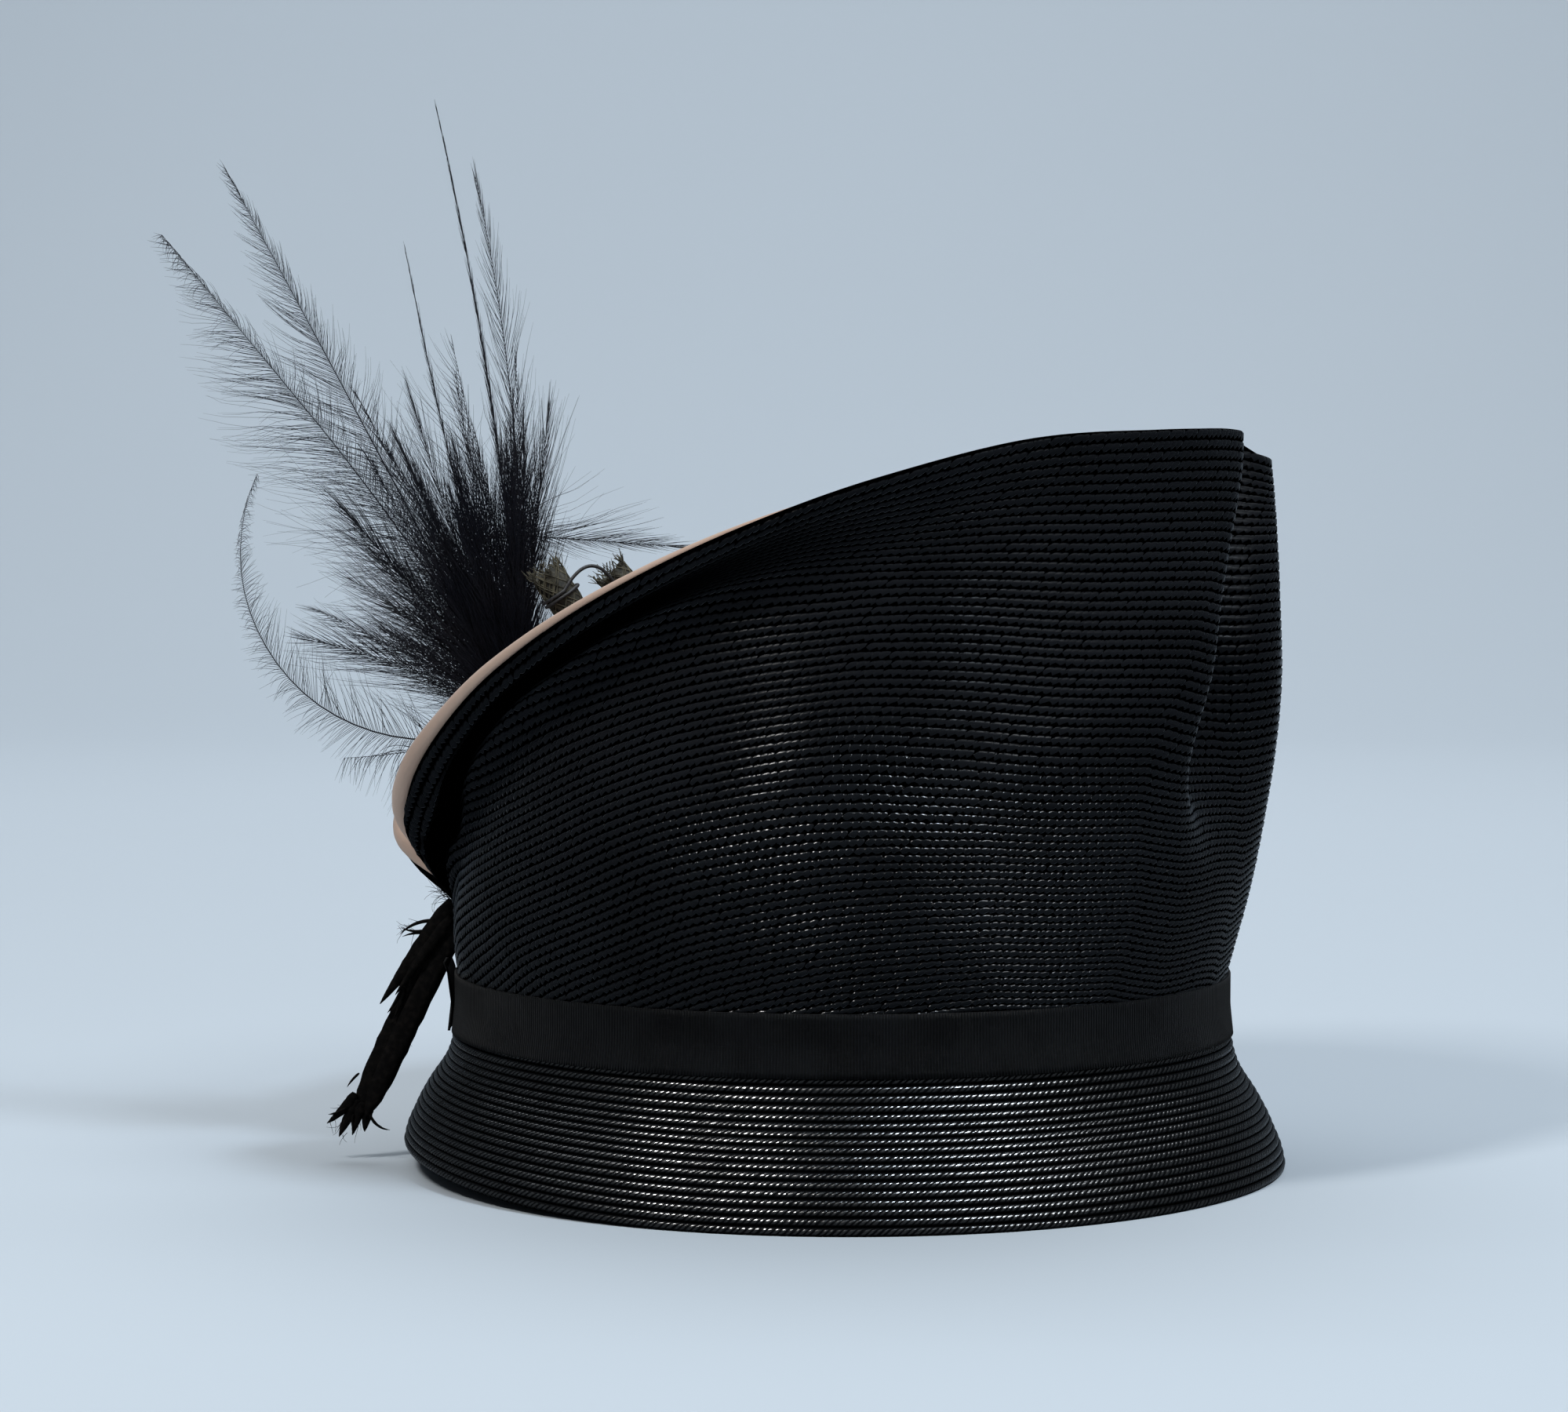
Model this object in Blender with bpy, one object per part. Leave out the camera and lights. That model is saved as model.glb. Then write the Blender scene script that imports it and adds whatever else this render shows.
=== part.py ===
"""A black straw hat with a flared lower brim, a ribbon, and a tall turned-up brim faced in cloth.

Metres, +Z up. -X is the front, where the turned-up brim is split by a notch, and +X is the back,
where it is folded in by a crease. Angles run round the head from the back (0) over the +Y side
(90) to the front (180), and from the back over the -Y side to -180.
"""

import math

import bmesh
import bpy
from mathutils import Vector

# Straw, cloth and the small gap that touching pieces keep
STRAW = 0.0015
GAP = 0.0003

# The head oval, measured over the straw where the ribbon sits
HEAD_LENGTH = 0.2005
HEAD_WIDTH = 0.1700

# The lower brim, which flares from the ribbon down to the rim that the hat stands on
FLARE_HEIGHT = 0.0420
FLARE_AT_BACK = 0.0150
FLARE_AT_FRONT = 0.0138
FLARE_AT_SIDES = 0.0200
FRONT_LIFT = 0.0060
FRONT_LIFT_SPAN = 75.0

# The turned-up brim
WALL_FOOT = 0.0085
WALL_RISE = 0.1480
LOW_UP = 0.42
WALL_BULGE = 0.0155
LIP_FLARE = 0.0185
BACK_LOBE_DROP = 0.0065
BACK_LOBE_AT = 19.0
BACK_LOBE_SPAN = 18.0
FAR_SIDE_DROP = 0.0150
FAR_SIDE_AT = 103.0
FAR_SIDE_SPAN = 46.0

# The notch's place at the front, a little towards the -Y side
NOTCH_AT = -176.0

# The crease that folds the turned-up brim in at the back, slanting up from its foot
CREASE_AT = -10.0
CREASE_FOOT_AT = -27.0
CREASE_SWAY = 2.9
CREASE_SPAN = 28.0
CREASE_TURN = 86.0
CREASE_NARROWING = 0.5
CREASE_FOOT = 0.20
CREASE_FULL = 0.64

# The cloth facing inside the turned-up brim, with its edge turned over a padded roll
FACING = 0.0010
FACING_FOOT = 0.0180
ROLL_RADIUS = 0.0031
ROLL_PROUD = 0.0016
ROLL_SUNK = 0.0016
BELOW_ROLL = 1.6

# The ribbon round the waist and the flat tab over its join
RIBBON = 0.0007
RIBBON_ABOVE = 0.0080
RIBBON_BELOW = 0.0075
TAB_SPAN = 10.0
TAB_ABOVE = 0.0035
TAB_STAND = 0.0012
TAB_STEPS = 4

# The crown inside
CROWN_HEIGHT = 0.0840
CROWN_FOOT = 0.0020

# The plume, bound to a head that leans on the crown's front. A lock's shape is where on a half wave
# its root is, and the power that blunts the wave
PLUME_LENGTH = 0.1620
PLUME_HEAD_RADIUS = 0.0045
PLUME_HEAD_HEIGHT = 0.0340
PLUME_FOOT = 0.0460
PLUME_LEAN = -19.0
LOCK_BREADTH = 0.0120
LOCK_THICKNESS = 0.0018
LEAF_SHAPE = (0.14, 0.7)
STRIP_SHAPE = (0.04, 0.4)
BLUNT_TIP = 0.02
TIP_THINNING = 0.45
SPRAY_FROM = 0.8
SPRAY_TURN = 2.4
SPRAY_SCATTER = (0.2, 0.3)

# The ragged tail that hangs out of the notch
TAIL_LENGTH = 0.0640
TAIL_BREADTH = 0.0048
TAIL_THICKNESS = 0.0016
TAIL_HEAD_RADIUS = 0.0017
TAIL_HEAD_HEIGHT = 0.0060
TAIL_BELOW = 0.0012

# Two wrapped flower stems, and the wire that ties them
STEM_RADIUS = 0.0042
STEM_WALL = 0.0010
STEM_LENGTH = 0.0430
STEM_HOLLOW = 0.0140
STEM_TAPER = 0.85
WIRE_RADIUS = 0.00045
WIRE_TURNS = 1.25
WIRE_STEPS = 10
WIRE_PITCH = 3.0
WIRE_AT = 0.80
WIRE_END_AT = 0.45
WIRE_ARCH = 0.0060


def table(names, *rows):
    """Rows of numbers under named columns."""
    return [dict(zip(names.split(), row)) for row in rows]


# The turned-up brim, column by column from the back to the notch. rise is a share of WALL_RISE;
# low, belly and neck are out by a share of WALL_BULGE, and up by a share of the column's own rise;
# lip is out by a share of LIP_FLARE, and roll is a share of the padded roll's full size.
WALL = table(
    "angle rise  low   belly belly_up neck  neck_up lip   roll",
    (0, 1.000, 0.46, 0.80, 0.58, 0.80, 0.92, 0.66, 0.00),
    (20, 1.000, 0.48, 0.86, 0.56, 0.74, 0.89, 0.58, 0.00),
    (40, 1.004, 0.54, 0.96, 0.52, 0.66, 0.84, 0.46, 0.00),
    (60, 1.000, 0.52, 0.95, 0.48, 0.50, 0.80, 0.46, 0.00),
    (80, 0.982, 0.52, 0.92, 0.46, 0.40, 0.81, 0.58, 0.00),
    (97, 0.918, 0.50, 0.88, 0.46, 0.34, 0.82, 0.76, 0.25),
    (110, 0.840, 0.46, 0.78, 0.46, 0.32, 0.82, 0.86, 0.62),
    (125, 0.727, 0.38, 0.60, 0.46, 0.26, 0.82, 0.92, 0.84),
    (140, 0.600, 0.28, 0.42, 0.48, 0.22, 0.83, 0.95, 0.94),
    (150, 0.498, 0.18, 0.28, 0.50, 0.18, 0.85, 0.96, 1.00),
    (160, 0.396, 0.10, 0.16, 0.52, 0.14, 0.87, 0.95, 1.00),
    (168, 0.316, 0.06, 0.10, 0.54, 0.10, 0.87, 0.82, 0.95),
    (174, 0.252, 0.04, 0.07, 0.55, 0.08, 0.87, 0.50, 0.75),
    (180, 0.188, 0.03, 0.05, 0.56, 0.06, 0.87, 0.08, 0.45),
)

# The lower brim's flare: down is a share of its height, out a share of its flare
FLARE = table(
    "down  out",
    (0.00, 0.00),
    (0.20, 0.06),
    (0.40, 0.23),
    (0.56, 0.52),
    (0.74, 0.78),
    (1.00, 1.00),
)

# The crown: up is a share of its height, reach a share of the oval inside the straw
CROWN = table(
    "up    reach",
    (0.00, 1.000),
    (0.10, 1.000),
    (0.16, 0.962),
    (0.36, 0.935),
    (0.58, 0.875),
    (0.76, 0.770),
    (0.89, 0.600),
    (0.97, 0.360),
)

# The tab above the ribbon's joint: up is a share of its height, stand a share of how proud it is
TAB_RISE = table(
    "up    stand",
    (0.00, 0.0),
    (0.70, 0.5),
    (0.88, 1.0),
    (1.00, 0.6),
)

# The bound head that a spray springs from: along is a share of its height
SPRAY_HEAD = table(
    "along radius",
    (0.00, 0.8),
    (0.25, 1.0),
    (0.85, 1.0),
    (1.00, 0.7),
)

# Feathers: lean is from upright towards the front, bend the lean gained on the way to the tip and
# tilt the lean towards +Y, in degrees; length and breadth are shares of the longest and broadest.
FEATHERS = table(
    "lean bend tilt length breadth",
    (4, 10, 3, 1.00, 0.32),
    (-2, 17, 8, 0.90, 0.42),
    (26, 9, -4, 0.99, 0.90),
    (32, 15, 6, 0.99, 1.00),
    (14, -2, -6, 0.78, 0.50),
    (100, -126, 4, 0.71, 0.75),
    (108, -16, -4, 0.29, 0.80),
    (-5, -84, 6, 0.42, 0.60),
    (14, 14, 12, 0.52, 0.95),
    (32, 22, -12, 0.50, 0.95),
    (50, 26, 14, 0.40, 0.95),
    (66, 10, -8, 0.34, 0.90),
)

# The tail's strips, under the same columns
TAIL = table(
    "lean bend tilt length breadth",
    (156, 1, 0, 0.88, 1.00),
    (157, 2, 2, 1.00, 0.42),
    (151, 1, 1, 0.97, 0.36),
    (147, -2, 3, 0.50, 0.40),
)

# Flower stems: where each stands on the crown, by angle and by reach, and how it leans and tilts
STEMS = table(
    "angle reach lean tilt length",
    (-148.0, 0.62, 32.0, -4.0, 1.00),
    (-142.0, 0.40, 42.0, -6.0, 0.82),
)

# Where columns and levels of the walls stand
NOTCH_SPREAD = (0.0, 1.5, 3.5, 6.0, 9.0, 12.5, 17.0)
CREASE_COLUMNS = 16
SIDE_STEP = 6.6
RING_COLUMNS = 48
CROWN_COLUMNS = 36
STRAND_STEPS = 7
FACED_LEVELS = (0.0, 0.14, 0.28, 0.42, 0.56, 0.69, 0.81, 0.91, 1.0)
ROLL_ARCS = (-50, 10, 70, 120, 170)
CURVE_STEPS = 40
FOLD_STEPS = 24

# How far apart the points are that a slope is read from: a share of a line, and degrees
NUDGE = 0.008
NUDGE_TURN = 0.4

# Edges that turn by more than this, in degrees, are corners
CORNER = 40.0


def material(name, colour, roughness):
    """A plain finish with the piece's colour."""
    made = bpy.data.materials.new(name)
    made.use_nodes = True
    shader = made.node_tree.nodes["Principled BSDF"]
    shader.inputs["Base Color"].default_value = (*colour, 1)
    shader.inputs["Roughness"].default_value = roughness
    return made


def mix(a, b, share):
    return a + (b - a) * share


def smooth(share):
    """0 to 1 with level ends."""
    share = min(1.0, max(0.0, share))
    return share * share * (3 - 2 * share)


def turned(angle):
    """The same direction, between -180 and 180."""
    return (angle + 180.0) % 360.0 - 180.0


def read(rows, key, value, column):
    """A table's column at any value of its key, on a line with no corners."""
    place = max(k for k in range(len(rows) - 1) if rows[k][key] <= value)
    low, high = rows[place], rows[place + 1]
    span = high[key] - low[key]

    def slope(k):
        if k in (0, len(rows) - 1):
            return 0.0
        return (rows[k + 1][column] - rows[k - 1][column]) / (rows[k + 1][key] - rows[k - 1][key])

    t = (value - low[key]) / span
    return (
        (2 * t**3 - 3 * t**2 + 1) * low[column]
        + (t**3 - 2 * t**2 + t) * span * slope(place)
        + (3 * t**2 - 2 * t**3) * high[column]
        + (t**3 - t**2) * span * slope(place + 1)
    )


def straight(rows, key, value, column):
    """A table's column at any value of its key, on straight lines."""
    place = max(k for k in range(len(rows) - 1) if rows[k][key] <= value)
    low, high = rows[place], rows[place + 1]
    return mix(low[column], high[column], (value - low[key]) / (high[key] - low[key]))


def oval(angle, out=0.0):
    """A point in plan, out from the head oval at an angle."""
    along, across = HEAD_LENGTH / 2, HEAD_WIDTH / 2
    c, s = math.cos(math.radians(angle)), math.sin(math.radians(angle))
    normal = Vector((c / along, s / across)).normalized()
    return along * c + out * normal.x, across * s + out * normal.y


def front_share(angle):
    """1 at the front, falling to 0 where the lower brim meets the floor."""
    return smooth((abs(turned(angle)) - 180.0 + FRONT_LIFT_SPAN) / FRONT_LIFT_SPAN)


def flare_out(angle, down):
    """How far the lower brim stands out of the oval at a share of its height."""
    backward = (1 + math.cos(math.radians(angle))) / 2
    sideways = math.sin(math.radians(angle)) ** 2
    ends = mix(FLARE_AT_FRONT, FLARE_AT_BACK, backward)
    return mix(ends, FLARE_AT_SIDES, sideways) * straight(FLARE, "down", down, "out")


def creased(angle, share):
    """The place on the plain oval of a column of the wall, and how deep it is folded in.

    The fold is a meander: its direction swings in and out again, so it has no sharp corner. Down
    the wall it sways to one side, narrows and fades."""
    swing = smooth((share - CREASE_FOOT) / (CREASE_FULL - CREASE_FOOT))
    middle = mix(CREASE_FOOT_AT, CREASE_AT, smooth(share**CREASE_SWAY))
    narrow = mix(CREASE_NARROWING, 1.0, swing)
    turn = math.radians(CREASE_TURN) * swing
    off = turned(angle - CREASE_AT)
    side = math.copysign(1.0, off)

    def walk(reach):
        along = depth = 0.0
        for k in range(FOLD_STEPS):
            heading = turn * math.sin(math.pi * (k + 0.5) / FOLD_STEPS * reach / CREASE_SPAN)
            along += narrow * math.cos(heading) * reach / FOLD_STEPS
            depth += narrow * math.sin(heading) * reach / FOLD_STEPS
        return along, depth

    gape, deepest = walk(CREASE_SPAN)
    if abs(off) < CREASE_SPAN:
        along, depth = walk(abs(off))
        return middle + side * along, (deepest - depth) * math.radians(HEAD_WIDTH / 2)
    crest = middle + side * gape
    opposite = CREASE_AT + side * 180.0
    return mix(crest, opposite, (abs(off) - CREASE_SPAN) / (180.0 - CREASE_SPAN)), 0.0


def through(points, steps=CURVE_STEPS):
    """A smooth line through a few points."""
    ends = [2 * points[0] - points[1], *points, 2 * points[-1] - points[-2]]
    line = []
    for k in range(steps + 1):
        t = k / steps * (len(points) - 1)
        i = min(int(t), len(points) - 2)
        t -= i
        a, b, c, d = ends[i : i + 4]
        bow = 2 * a - 5 * b + 4 * c - d
        twist = 3 * b - a - 3 * c + d
        line.append((2 * b + (c - a) * t + bow * t**2 + twist * t**3) / 2)
    return line


def from_back(angle):
    """How far round a column is from the back, 180 being the notch."""
    return 180.0 - abs(turned(angle - NOTCH_AT))


def hump(angle, middle, span):
    """1 at an angle, falling to 0 at a span to either side."""
    return 1 - smooth(abs(turned(angle - middle)) / span)


def wall_line(angle):
    """One column of the wall's outside, as (out, up) points from its foot to its edge."""
    row = {name: read(WALL, "angle", from_back(angle), name) for name in WALL[0]}
    rise = WALL_RISE * row["rise"]
    rise -= BACK_LOBE_DROP * hump(angle, BACK_LOBE_AT, BACK_LOBE_SPAN)
    rise -= FAR_SIDE_DROP * hump(angle, FAR_SIDE_AT, FAR_SIDE_SPAN)
    foot = Vector((0.0, WALL_FOOT))
    belly = Vector((WALL_BULGE * row["belly"], rise * row["belly_up"]))
    low = Vector((WALL_BULGE * row["low"], mix(WALL_FOOT, belly.y, LOW_UP)))
    neck = Vector((WALL_BULGE * row["neck"], rise * row["neck_up"]))
    lip = Vector((LIP_FLARE * row["lip"], rise))
    return [Vector((0.0, 0.0)), *through([foot, low, belly, neck, lip])]


def along_line(line, share):
    """A point at a share of a line's length."""
    reach = sum((b - a).length for a, b in zip(line, line[1:])) * share
    for a, b in zip(line, line[1:]):
        step = (b - a).length
        if reach <= step:
            return a.lerp(b, reach / step)
        reach -= step
    return line[-1].copy()


def wall_point(angle, share, line=None):
    """A point of the wall's outside, at a share of the way from its foot to its edge."""
    place = along_line(line or wall_line(angle), share)
    plain, inward = creased(angle, place.y / WALL_RISE)
    x, y = oval(plain, place.x)
    return Vector((x - inward, y, FLARE_HEIGHT + place.y))


def wall_frame(angle, share):
    """A point of the wall's outside, its outward normal and its upward direction."""
    low, high = max(0.0, share - NUDGE), min(1.0, share + NUDGE)
    line = wall_line(angle)
    up = (wall_point(angle, high, line) - wall_point(angle, low, line)).normalized()
    round_ = wall_point(angle + NUDGE_TURN, share) - wall_point(angle - NUDGE_TURN, share)
    return wall_point(angle, share, line), round_.cross(up).normalized(), up


def wall_columns():
    """The angles of the walls' columns, closer together at the crease and the notch."""
    crease = [CREASE_AT + CREASE_SPAN * (2 * k / CREASE_COLUMNS - 1) for k in range(CREASE_COLUMNS + 1)]
    notch = [NOTCH_AT + 360.0 + off for off in sorted({s * k for k in NOTCH_SPREAD for s in (-1, 1)})]
    angles = []
    for bunch, there in ((crease, notch[0]), (notch, crease[0] + 360.0)):
        steps = max(1, round((there - bunch[-1]) / SIDE_STEP))
        angles += bunch + [mix(bunch[-1], there, k / steps) for k in range(1, steps)]
    return angles


def ring_columns(count=RING_COLUMNS):
    """The angles of the columns of a ring that has no crease and no notch."""
    return [360.0 * k / count for k in range(count)]


def edging(angle):
    """A column's length, its roll's radius, how deep the roll is sunk, and its levels."""
    line = wall_line(angle)
    length = sum((b - a).length for a, b in zip(line, line[1:]))
    roll = read(WALL, "angle", from_back(angle), "roll")
    radius = mix(FACING / 2, ROLL_RADIUS, roll)
    sunk = mix(ROLL_SUNK, -ROLL_PROUD, roll)
    foot = FACING_FOOT / length
    head = 1 - (max(sunk, 0.0) + BELOW_ROLL * radius) / length
    return length, radius, sunk, [mix(foot, head, level) for level in FACED_LEVELS]


def finished(name, mesh, finish):
    """An object with its faces pointing out, smooth apart from its corners."""
    shape = bmesh.new()
    shape.from_mesh(mesh)
    bmesh.ops.recalc_face_normals(shape, faces=shape.faces)
    shape.to_mesh(mesh)
    shape.free()
    mesh.shade_smooth()
    mesh.set_sharp_from_angle(angle=math.radians(CORNER))
    mesh.materials.append(finish)
    obj = bpy.data.objects.new(name, mesh)
    bpy.context.scene.collection.objects.link(obj)
    return obj


def swept(name, columns, finish, closed=True):
    """A solid from closed sections, round a ring or between two ends.

    Each section's second half runs back beside its first, and both halves' faces are split along
    the same diagonal, so that skins that lie side by side stay parallel."""
    shape = bmesh.new()
    rings = [[shape.verts.new(p) for p in section] for section in columns]
    count = len(rings[0])
    for k in range(len(rings) if closed else len(rings) - 1):
        here, there = rings[k], rings[(k + 1) % len(rings)]
        for i in range(count):
            j = (i + 1) % count
            if i < count / 2:
                shape.faces.new((here[i], here[j], there[j]))
                shape.faces.new((here[i], there[j], there[i]))
            else:
                shape.faces.new((here[i], here[j], there[i]))
                shape.faces.new((here[j], there[j], there[i]))
    if not closed:
        shape.faces.new(rings[0])
        shape.faces.new(rings[-1])
    mesh = bpy.data.meshes.new(name)
    shape.to_mesh(mesh)
    shape.free()
    return finished(name, mesh, finish)


def turned_solid(name, base, direction, profile, finish, sides=12):
    """A solid of revolution from (radius, along) points, whose first and last lie on the axis."""
    frame = direction.to_track_quat("Z", "Y").to_matrix()
    shape = bmesh.new()
    poles = [shape.verts.new(base + direction * along) for _, along in (profile[0], profile[-1])]
    rings = []
    for radius, along in profile[1:-1]:
        ring = []
        for k in range(sides):
            spoke = 2 * math.pi * k / sides
            around = Vector((radius * math.cos(spoke), radius * math.sin(spoke), along))
            ring.append(shape.verts.new(base + frame @ around))
        rings.append(ring)
    for k in range(sides):
        j = (k + 1) % sides
        shape.faces.new((poles[0], rings[0][j], rings[0][k]))
        shape.faces.new((poles[1], rings[-1][k], rings[-1][j]))
        for here, there in zip(rings, rings[1:]):
            shape.faces.new((here[k], here[j], there[j], there[k]))
    mesh = bpy.data.meshes.new(name)
    shape.to_mesh(mesh)
    shape.free()
    return finished(name, mesh, finish)


def lower_brim(finish):
    """The flared straw below the ribbon, level on the floor but for a lift at the front."""
    columns = []
    for angle in ring_columns():
        lift = FRONT_LIFT * front_share(angle)
        height = FLARE_HEIGHT - GAP - lift
        line = [Vector((flare_out(angle, row["down"]), lift + height * (1 - row["down"]))) for row in FLARE]
        inner = []
        for k, point in enumerate(line):
            run = (line[min(k + 1, len(line) - 1)] - line[max(k - 1, 0)]).normalized()
            inner.append(point + STRAW * Vector((run.y, -run.x)))
        inner[0] = line[0] - Vector((STRAW, 0.0))
        inner[-1].y = line[-1].y
        columns.append([Vector((*oval(angle, p.x), p.y)) for p in line + inner[::-1]])
    return swept("lower_brim", columns, finish)


def upturned_brim(finish):
    """The tall straw wall, with its lip, front notch and back crease."""
    columns = []
    for angle in wall_columns():
        length, _, _, faced = edging(angle)
        frames = [wall_frame(angle, level) for level in (0.0, WALL_FOOT / length, *faced, 1.0)]
        outer = [point for point, _, _ in frames]
        inner = [point - STRAW * normal for point, normal, _ in frames]
        inner[0].z = outer[0].z
        columns.append(outer + inner[::-1])
    return swept("upturned_brim", columns, finish)


def facing_section(angle):
    """The facing's closed section: up its outer side, round the roll and down its inner side."""
    length, radius, sunk, levels = edging(angle)
    depth = STRAW + GAP
    frames = [wall_frame(angle, level) for level in levels]
    outer = [point - normal * depth for point, normal, _ in frames]
    inner = [point - normal * (depth + FACING) for point, normal, _ in frames]
    roll = []
    for arc in ROLL_ARCS:
        down = sunk - radius * math.sin(math.radians(arc))
        inward = depth + radius - radius * math.cos(math.radians(arc))
        point, normal, up = wall_frame(angle, min(1.0, 1 - down / length))
        roll.append(point + up * max(0.0, -down) - normal * inward)
    return outer + roll + inner[::-1]


def brim_facing(finish):
    """The cloth inside the turned-up brim."""
    return swept("brim_facing", [facing_section(angle) for angle in wall_columns()], finish)


def ribbon_band(finish):
    """The flat ribbon over the joint between the two straw pieces."""
    columns = []
    for angle in ring_columns():
        height = FLARE_HEIGHT - GAP - FRONT_LIFT * front_share(angle)
        bottom = flare_out(angle, (RIBBON_BELOW - GAP) / height) + GAP
        inner = [Vector((bottom, -RIBBON_BELOW)), Vector((GAP, 0.0)), Vector((GAP, RIBBON_ABOVE))]
        outer = [p + Vector((RIBBON, 0.0)) for p in inner]
        columns.append([Vector((*oval(angle, p.x), FLARE_HEIGHT + p.y)) for p in outer + inner[::-1]])
    return swept("ribbon_band", columns, finish)


def ribbon_tab(finish):
    """The flat fold over the ribbon's join at the front, which stands a little proud on top."""
    columns = []
    height = FLARE_HEIGHT - GAP - FRONT_LIFT
    clear = GAP + RIBBON + GAP
    top = RIBBON_ABOVE + TAB_ABOVE
    for k in range(TAB_STEPS + 1):
        angle = 180.0 + TAB_SPAN / 2 * (2 * k / TAB_STEPS - 1)
        bottom = flare_out(angle, (RIBBON_BELOW - GAP) / height) + clear
        inner = [Vector((bottom, -RIBBON_BELOW))]
        inner += [Vector((clear + TAB_STAND * row["stand"], top * row["up"])) for row in TAB_RISE]
        outer = [p + Vector((RIBBON, 0.0)) for p in inner]
        columns.append([Vector((*oval(angle, p.x), FLARE_HEIGHT + p.y)) for p in outer + inner[::-1]])
    return swept("ribbon_tab", columns, finish, closed=False)


def crown_reach(up):
    """The crown's outside at a share of its height, as a share of the oval inside the straw."""
    if up >= CROWN[-1]["up"]:
        return CROWN[-1]["reach"] * math.sqrt(max(0.0, (1 - up) / (1 - CROWN[-1]["up"])))
    return read(CROWN, "up", up, "reach")


def crown_point(angle, up, inset=0.0):
    """A point of the crown, at an inset from its outside."""
    x, y = oval(angle, -STRAW - GAP)
    reach = crown_reach(up)
    level = FLARE_HEIGHT + CROWN_FOOT + (CROWN_HEIGHT - inset) * up
    plan = Vector((x, y)) * reach
    plan -= plan.normalized() * min(inset, plan.length)
    return Vector((plan.x, plan.y, level))


def crown(finish):
    """The domed crown inside the turned-up brim."""
    angles = ring_columns(CROWN_COLUMNS)
    shape = bmesh.new()
    skins = []
    for inset in (0.0, STRAW):
        rings = [[shape.verts.new(crown_point(a, row["up"], inset)) for a in angles] for row in CROWN]
        top = shape.verts.new((0.0, 0.0, FLARE_HEIGHT + CROWN_FOOT + CROWN_HEIGHT - inset))
        skins.append((rings, top))
    for rings, top in skins:
        for here, there in zip(rings, rings[1:]):
            for i in range(len(angles)):
                j = (i + 1) % len(angles)
                shape.faces.new((here[i], here[j], there[j]))
                shape.faces.new((here[i], there[j], there[i]))
        for i in range(len(angles)):
            shape.faces.new((rings[-1][i], rings[-1][(i + 1) % len(angles)], top))
    foot, inner_foot = skins[0][0][0], skins[1][0][0]
    for i in range(len(angles)):
        j = (i + 1) % len(angles)
        shape.faces.new((foot[i], foot[j], inner_foot[j], inner_foot[i]))
    mesh = bpy.data.meshes.new("crown")
    shape.to_mesh(mesh)
    shape.free()
    return finished("crown", mesh, finish)


def leaning(lean, tilt):
    """A direction that leans from upright towards the front, and tilts towards +Y."""
    lean, tilt = math.radians(lean), math.radians(tilt)
    return Vector((-math.sin(lean) * math.cos(tilt), math.sin(tilt), math.cos(lean) * math.cos(tilt)))


def strand_path(root, row, length, steps=STRAND_STEPS):
    """The points and headings of a feather or strip, from its root to its tip."""
    point, path = root.copy(), []
    for k in range(steps + 1):
        heading = leaning(row["lean"] + row["bend"] * k / steps, row["tilt"])
        path.append((point.copy(), heading))
        point += heading * row["length"] * length / steps
    return path


def lock(name, root, row, size, finish):
    """One flat lock, whose breadth follows a half wave raised to a power: low powers are blunt."""
    length, breadth, thickness, (start, power) = size
    sections = []
    path = strand_path(root, row, length)
    for k, (point, heading) in enumerate(path):
        share = k / (len(path) - 1)
        wide = breadth * row["breadth"] * math.sin(math.pi * mix(start, 1 - BLUNT_TIP, share)) ** power
        thick = thickness / 2 * mix(1.0, TIP_THINNING, share)
        side = heading.cross(Vector((0, 1, 0))).normalized() * wide
        flat = heading.cross(side).normalized() * thick
        sections.append([point + side, point + flat, point - side, point - flat])
    return swept(name, sections, finish, closed=False)


def fused(name, pieces, finish):
    """One body made of several that overlap."""
    base, others = pieces[0], pieces[1:]
    for other in others:
        join = base.modifiers.new("join", "BOOLEAN")
        join.operation = "UNION"
        join.object = other
    graph = bpy.context.evaluated_depsgraph_get()
    mesh = bpy.data.meshes.new_from_object(base.evaluated_get(graph))
    mesh.materials.clear()
    for piece in pieces:
        bpy.data.objects.remove(piece)
    return finished(name, mesh, finish)


def spray(name, foot, head, rows, size, finish):
    """Locks that spring from the top of a bound head."""
    direction, head_radius, head_height = head
    profile = [(head_radius * row["radius"], head_height * row["along"]) for row in SPRAY_HEAD]
    profile = [(0.0, 0.0), *profile, (0.0, head_height)]
    pieces = [turned_solid(name + "_head", foot, direction, profile, finish, sides=10)]
    root = foot + direction * head_height * SPRAY_FROM
    for k, row in enumerate(rows):
        turn = SPRAY_TURN * k
        along, across = SPRAY_SCATTER
        nudge = Vector((along * math.cos(turn), across * math.sin(turn), 0.0)) * head_radius
        pieces.append(lock(f"{name}_{k}", root + nudge, row, size, finish))
    return fused(name, pieces, finish)


def plume(finish):
    """The feathers, whose bound head leans on the crown behind the notch."""
    up = (PLUME_FOOT - CROWN_FOOT) / CROWN_HEIGHT
    seat = crown_point(180.0, up)
    foot = seat - Vector((PLUME_HEAD_RADIUS * SPRAY_HEAD[0]["radius"] + GAP * 2, 0.0, 0.0))
    head = (leaning(PLUME_LEAN, 0.0), PLUME_HEAD_RADIUS, PLUME_HEAD_HEIGHT)
    size = (PLUME_LENGTH, LOCK_BREADTH, LOCK_THICKNESS, LEAF_SHAPE)
    return spray("plume", foot, head, FEATHERS, size, finish)


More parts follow.
